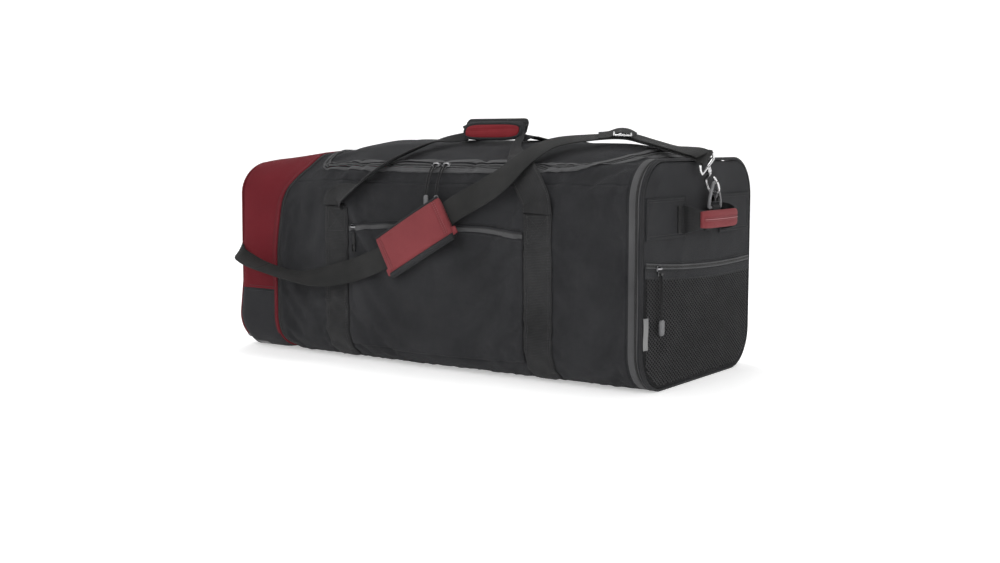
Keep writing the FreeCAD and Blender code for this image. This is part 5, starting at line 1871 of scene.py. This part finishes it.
# ---- rings and swivel hooks ---------------------------------------------------------
def ring_and_hook(prefix, body):
    bend_place, down = HOOKS[prefix]
    down = unit(down)
    sign = math.copysign(1, bend_place[0])
    out = arr(sign, 0, 0)
    across = arr(0, -down[2], down[1])
    eye = bend_place - down * HOOK_REACH

    def at(s, t, e=0.0):
        return eye + down * s + out * t + across * e

    ring = Shape()
    x = bend_place[0]
    apex = RING_Z + 38
    foot = 19.0
    pts = [(x, RING_Y - foot, RING_Z), (x, RING_Y - foot + 0.4, RING_Z + 9),
           (x, RING_Y - foot + 4.5, RING_Z + 20),
           (x, RING_Y - 9.2, apex - 8.5), (x, RING_Y - 5.6, apex - 2.2), (x, RING_Y, apex - 0.4),
           (x, RING_Y + 5.6, apex - 2.2), (x, RING_Y + 9.2, apex - 8.5),
           (x, RING_Y + foot - 4.5, RING_Z + 20),
           (x, RING_Y + foot - 0.4, RING_Z + 9), (x, RING_Y + foot, RING_Z)]
    path = resample(pts, 1.5)[:, :3]
    side, o = frames(path, np.tile(out, (len(path), 1)))
    ring.sweep(path, side, o, flat_profile(4.6, 4.4, 1.4, -2.2))
    bar = np.array([(x, y, RING_Z) for y in np.linspace(RING_Y - foot, RING_Y + foot, 14)])
    side, o = frames(bar, np.tile(out, (len(bar), 1)))
    ring.sweep(bar, side, o, round_profile(2.2, 10))
    left = [(-16.8, 8.2), (0, 8.2), (0, 15.2), (-3.6, 16.2), (-7.4, 20.6), (-12.4, 20.6), (-15.2, 14)]
    right = [(-a, b) for a, b in left[::-1]]
    for outline in (left, right):
        plate(ring, outline, -1.7, 1.7, (x, RING_Y, RING_Z), ((0, sign, 0), (0, 0, 1), (sign, 0, 0)), 0, 0.5)
    obj = ring.build(prefix + "_moulded_ring", [M["ring"]])
    place(obj, prefix + "_ring", "ring_plastic", [prefix + "_ring"])

    tab = Shape()
    face = sign * HALF_LENGTH
    y, z = RING_Y, RING_Z
    grow = 2.9 if sign > 0 else 1.2
    stops = [(face + sign * grow, y, z - 36), (face + sign * (grow + 0.3), y, z - 24),
             (x - sign * 5.5, y, z - 10),
             (x - sign * 3.4, y, z - 2), (x - sign * 1.0, y, z + 3.3), (x + sign * 2.4, y, z + 2.4),
             (x + sign * 3.3, y, z - 1.5), (x - sign * 0.5, y, z - 10),
             (face + sign * (grow + 2.8), y, z - 22),
             (face + sign * (grow + 2.3), y, z - 34)]
    path = resample(stops, 1.5)[:, :3]
    t = tangents(path)
    side = np.tile((0, 1.0, 0), (len(path), 1))
    o = unit(np.cross(side, t))
    side2 = np.cross(t, o)
    tab.sweep(path, side2, o, flat_profile(25, 1.5, 0.6, -0.75))
    obj = tab.build(prefix + "_tab_webbing", [M["webbing"]])
    place(obj, body, "webbing", [prefix + "_ring_tab"])

    frame = Shape()
    r = 2.1
    loop = [at(EYE_BAR, 0, -EYE_HALF + 5), at(EYE_BAR, 0, EYE_HALF - 5), at(EYE_BAR - 1.5, 0, EYE_HALF - 1.2),
            at(EYE_BAR - 5, 0, EYE_HALF), at(-EYE_BAR + 5, 0, EYE_HALF),
            at(-EYE_BAR + 1.5, 0, EYE_HALF - 1.2),
            at(-EYE_BAR, 0, EYE_HALF - 5), at(-EYE_BAR, 0, -EYE_HALF + 5),
            at(-EYE_BAR + 1.5, 0, -EYE_HALF + 1.2),
            at(-EYE_BAR + 5, 0, -EYE_HALF), at(EYE_BAR - 5, 0, -EYE_HALF),
            at(EYE_BAR - 1.5, 0, -EYE_HALF + 1.2)]
    tube(frame, loop, r, 0, 10, 1.2, True, out=out)
    turned(frame, at(7.2, 0), down, [(0.0, 0), (3.0, 0), (4.0, 1.0), (4.2, 3.4), (3.4, 4.4), (4.2, 5.4),
                                     (4.2, 8.2),
                                     (3.4, 9.4), (2.4, 9.8), (0, 9.8)])
    obj = frame.build(prefix + "_eye_frame", [M["steel"]])
    place(obj, prefix + "_eye", "steel", [prefix + "_hook_eye"])

    hook = Shape()
    bend = 9.0
    bend_s = HOOK_REACH - bend
    arc = [at(bend_s + bend * math.sin(a), -bend * math.cos(a)) for a in np.linspace(0, math.pi, 9)]
    line = [at(17.4, 0), at(20, 0), at(23, -2.2), at(27, -7.2), at(30, -bend), at(36, -bend)] + arc + \
        [at(39, bend), at(34.4, bend)]
    path = resample(line, 1.2)[:, :3]
    side, o = frames(path, np.tile(across, (len(path), 1)))
    s = np.linspace(0, 1, len(path))
    radius = 2.05 + 0.4 * np.exp(-((s - 0.72) / 0.2) ** 2) - 0.25 * np.clip((s - 0.94) / 0.06, 0, 1)
    hook.sweep(path, side, o, np.array([round_profile(k, 12) for k in radius]))
    turned(hook, at(17.6, 0), down, [(0, 0), (2.6, 0), (3.2, 0.5), (3.0, 2.0), (2.0, 3.2), (0, 3.4)])
    obj = hook.build(prefix + "_hook_bow", [M["steel"]])
    place(obj, prefix + "_hook", "steel", [prefix + "_hook"])
    gate = Shape()
    tube(gate, [at(32.6, bend - 0.5), at(29, 7.0), at(24.8, 5.0)], 1.6, 0, 10, 1.0, out=across)
    turned(gate, at(28.4, 6.6, -2.6), across,
           [(0, 0), (1.3, 0), (1.5, 0.4), (1.5, 4.8), (1.3, 5.2), (0, 5.2)])
    obj = gate.build(prefix + "_hook_gate_bar", [M["steel"]])
    place(obj, prefix + "_gate", "steel", [prefix + "_hook_gate"])


def turned(shape, origin, axis, profile, mat=0, m=22):
    """Lathe work: (radius, height) points round an axis."""
    axis = unit(np.asarray(axis, float))
    pole = arr(1, 0, 0) if abs(axis[0]) < 0.8 else arr(0, 1, 0)
    u = unit(np.cross(axis, pole))
    v = np.cross(axis, u)
    a = np.arange(m) * 2 * math.pi / m
    ring = np.cos(a)[:, None] * u + np.sin(a)[:, None] * v
    profile = [(max(r, 0.02), h) for r, h in profile]
    pts = np.array([np.asarray(origin, float) + r * ring + h * axis for r, h in profile])
    first = shape.count
    shape.grid(pts, close_v=True, mat=mat)
    for begin, order in ((first, -1), (first + (len(profile) - 1) * m, 1)):
        ids = list(range(begin, begin + m))[::order]
        shape.faces.append(ids)
        shape.uvs.append([(0.001 * k, 0) for k in range(m)])
        shape.mats.append(mat)


# ---- zip sliders and their cord pulls ----------------------------------------------
def moulded_tip(name, node, body, centre, half, slot_name="pull_tip"):
    """Rounded grip on a cord's end, with finger ridges."""
    hx, hy, hz = half
    shape = Shape()
    n = 26
    zs = np.linspace(-1, 1, n)
    rows, path = [], []
    for t in zs:
        k = (1 - abs(t) ** 5) ** 0.3 if abs(t) < 1 else 0.12
        k = max(k, 0.45)
        rib = 1 - 0.07 * (0.5 + 0.5 * math.cos(t * 22)) * (abs(t) < 0.75)
        outline = tablet(hx, hy, min(hx, hy) * 0.85, 6) * k * rib
        rows.append(outline)
        path.append((centre[0], centre[1], centre[2] + t * hz))
    path = np.array(path, float)
    shape.sweep(path, np.tile((1.0, 0, 0), (n, 1)), np.tile((0, 1.0, 0), (n, 1)), np.array(rows))
    obj = shape.build(name, [M["tip"]])
    place(obj, body, slot_name, [node])
    return obj


def pulls():
    seat_normal = arr(0, -0.606, 0.795)
    for name, x in (("a", 24.0), ("b", 44.0)):
        metal = Shape()
        slider(metal, arr(x, -155.8, 323.6), (1, 0, 0), seat_normal)
        obj = metal.build("main_slider_" + name + "_metal", [M["slider"]])
        place(obj, "main_slider_" + name, "zip_slider", ["main_slider_" + name])
        tip = moulded_tip("main_pull_tip_%s_moulding" % name, "main_pull_tip_" + name, "main_pull_" + name,
                          (x, -183.9, 267.3), (4.4, 2.2, 10.8))
        legs = [(-0.1839, 0.2783), (-0.1821, 0.2898), (-0.1783, 0.3020), (-0.1728, 0.3125), (-0.1686, 0.3180)]
        mx = x * 0.001
        left = [(mx - 0.0017 - 0.00022 * k, y, z) for k, (y, z) in enumerate(legs)]
        right = [(mx + 0.0017 + 0.00022 * k, y, z) for k, (y, z) in enumerate(legs)]
        points = left + [(mx - 0.0028, -0.1634, 0.3236), (mx + 0.0028, -0.1634, 0.3236)] + right[::-1]
        cord_loop("main_pull_loop_" + name, "main_pull_cord_" + name, points, 0.0011, "main_pull_" + name)
    metal = Shape()
    slider(metal, arr(408, -137, 180), (0, 1, 0), (1, 0, 0))
    obj = metal.build("end_slider_metal", [M["slider"]])
    place(obj, "end_slider", "zip_slider", ["end_pocket_slider"])
    tip = moulded_tip("end_pull_tip_moulding", "end_pull_tip", "end_pull", (414.5, -137, 95),
                      (2.6, 6.2, 11.4))
    leg = [(0.0066, 0.0016, 0.106), (0.0060, 0.0018, 0.121), (0.0056, 0.0021, 0.136), (0.0050, 0.0024, 0.150),
           (0.0048, 0.0026, 0.162)]
    left = [(0.408 + out, -0.137 - half, z) for out, half, z in leg]
    right = [(0.408 + out, -0.137 + half, z) for out, half, z in leg]
    points = left + [(0.4126, -0.1398, 0.1739), (0.4126, -0.1342, 0.1739)] + right[::-1]
    cord_loop("end_pull_loop", "end_pull_cord", points, 0.0011, "end_pull")


# ---- wheels ------------------------------------------------------------------------
def wheels():
    for name, y in (("left", -120.0), ("right", 120.0)):
        tyre, hub = Shape(), Shape()
        half = 10.0
        tread = [(17.0, -half + 0.3), (20.5, -half), (23.2, -half + 0.8), (24.6, -half + 2.6),
                 (25, -half + 4.2),
                 (25, -3.4), (24.3, -3.0), (24.3, -2.2), (25, -1.8), (25, 1.8), (24.3, 2.2), (24.3, 3.0),
                 (25, 3.4),
                 (25, half - 4.2), (24.6, half - 2.6), (23.2, half - 0.8), (20.5, half), (17.0, half - 0.3)]
        lathe_ring(tyre, (-401, y, 25), tread, 64)
        obj = tyre.build("tyre_%s_rubber" % name, [M["tyre"]])
        place(obj, "wheel_" + name, "tyre", ["tyre_" + name])
        body = [(16.9, -half + 0.6), (16.9, half - 0.6), (15.4, half - 1.0), (14.6, half - 3.4),
                (7.6, half - 4.0),
                (6.4, half - 1.2), (5.6, half - 0.8), (3.4, half - 0.8), (3.4, -half + 0.8),
                (5.6, -half + 0.8),
                (6.4, -half + 1.2), (7.6, -half + 4.0), (14.6, -half + 3.4), (15.4, -half + 1.0)]
        lathe_ring(hub, (-401, y, 25), body, 48)
        for k in range(5):
            a = 2 * math.pi * k / 5
            radial = arr(math.cos(a), 0, math.sin(a))
            tangent = arr(-math.sin(a), 0, math.cos(a))
            spots = np.array([arr(-401, y, 25) + radial * s for s in (6.0, 9, 12, 15.2)])
            hub.sweep(spots, np.tile(tangent, (4, 1)), np.tile((0, 1.0, 0), (4, 1)),
                      np.array([flat_profile(w, 16.0, 1.0, -8.0) for w in (3.4, 2.8, 2.8, 3.6)]))
        obj = hub.build("hub_%s_spokes" % name, [M["hub"]])
        place(obj, "wheel_" + name, "hub", ["hub_" + name])


def lathe_ring(shape, centre, profile, m):
    a = np.arange(m) * 2 * math.pi / m
    centre = np.asarray(centre, float)
    pts = np.array([[centre + (r * math.cos(k), h, r * math.sin(k)) for k in a] for r, h in profile])
    shape.grid(pts, close_u=True, close_v=True, flip=True)


def cad_materials():
    """The housings, rivets and axles keep their own shapes, with a material for every slot."""
    names = {"wheel_housing_left": "housing", "wheel_housing_right": "housing", "housing_rivets": "steel",
             "wheel_axles": "steel"}
    for name, key in names.items():
        obj = bpy.data.objects.get(name)
        for part in [obj] if obj.type == "MESH" else obj.children_recursive:
            for slot in part.material_slots:
                slot.material = M[key]


strips()
front_pocket()
handles()
shoulder_strap()
ring_and_hook("pocket_end", "end_pan")
ring_and_hook("wheel_end", "bag")
pulls()
wheels()
cad_materials()


# ---- camera, light and floor --------------------------------------------------
def camera():
    azimuth, elevation = math.radians(35), math.radians(6.1)
    target = Vector((0.036, 0, 0.127))
    back = Vector((math.sin(azimuth) * math.cos(elevation), -math.cos(azimuth) * math.cos(elevation),
                   math.sin(elevation)))
    data = bpy.data.cameras.new("camera")
    data.lens = 46.8
    data.sensor_width = 36
    obj = bpy.data.objects.new("camera", data)
    bpy.context.scene.collection.objects.link(obj)
    obj.location = target + back * 2.186
    obj.rotation_euler = back.to_track_quat("Z", "Y").to_euler()
    bpy.context.scene.camera = obj


def area_light(name, location, target, power, size):
    data = bpy.data.lights.new(name, "AREA")
    data.energy = power
    data.size = size
    obj = bpy.data.objects.new(name, data)
    bpy.context.scene.collection.objects.link(obj)
    obj.location = location
    obj.rotation_euler = (Vector(location) - Vector(target)).to_track_quat("Z", "Y").to_euler()


def studio():
    world = bpy.data.worlds.new("studio")
    bpy.context.scene.world = world
    world.use_nodes = True
    back = world.node_tree.nodes["Background"]
    back.inputs["Color"].default_value = (1, 1, 1, 1)
    back.inputs["Strength"].default_value = 0.46
    aim = (0.03, 0, 0.18)
    area_light("key", (0.2, -2.6, 2.3), aim, 24, 1.3)
    area_light("top", (-0.4, 0.4, 2.6), aim, 25, 1.2)
    area_light("end", (2.8, -0.6, 1.3), aim, 9, 1.2)
    bpy.context.scene.view_settings.view_transform = "Standard"
    turns, rows = 96, [(0.0, 0.0), (3.2, 0.0), (4.2, 0.05), (5.0, 0.3), (5.6, 0.9), (5.9, 1.8), (6.0, 4.0)]
    verts = [(r * math.cos(2 * math.pi * k / turns), r * math.sin(2 * math.pi * k / turns), z)
             for r, z in rows[1:] for k in range(turns)]
    faces = [tuple(range(turns))]
    for i in range(len(rows) - 2):
        for k in range(turns):
            a, b = i * turns + k, i * turns + (k + 1) % turns
            faces.append((a, a + turns, b + turns, b))
    mesh = bpy.data.meshes.new("floor")
    mesh.from_pydata(verts, [], faces)
    mesh.polygons.foreach_set("use_smooth", [True] * len(mesh.polygons))
    mat, tree, shader = nodes_of("floor")
    shader.inputs["Emission Color"].default_value = (1, 1, 1, 1)
    shader.inputs["Emission Strength"].default_value = 0.42
    shader.inputs["Base Color"].default_value = (0.86, 0.86, 0.86, 1)
    shader.inputs["Roughness"].default_value = 0.8
    mesh.materials.append(mat)
    floor = bpy.data.objects.new("floor", mesh)
    floor.location.z = -0.0006
    bpy.context.scene.collection.objects.link(floor)


camera()
studio()
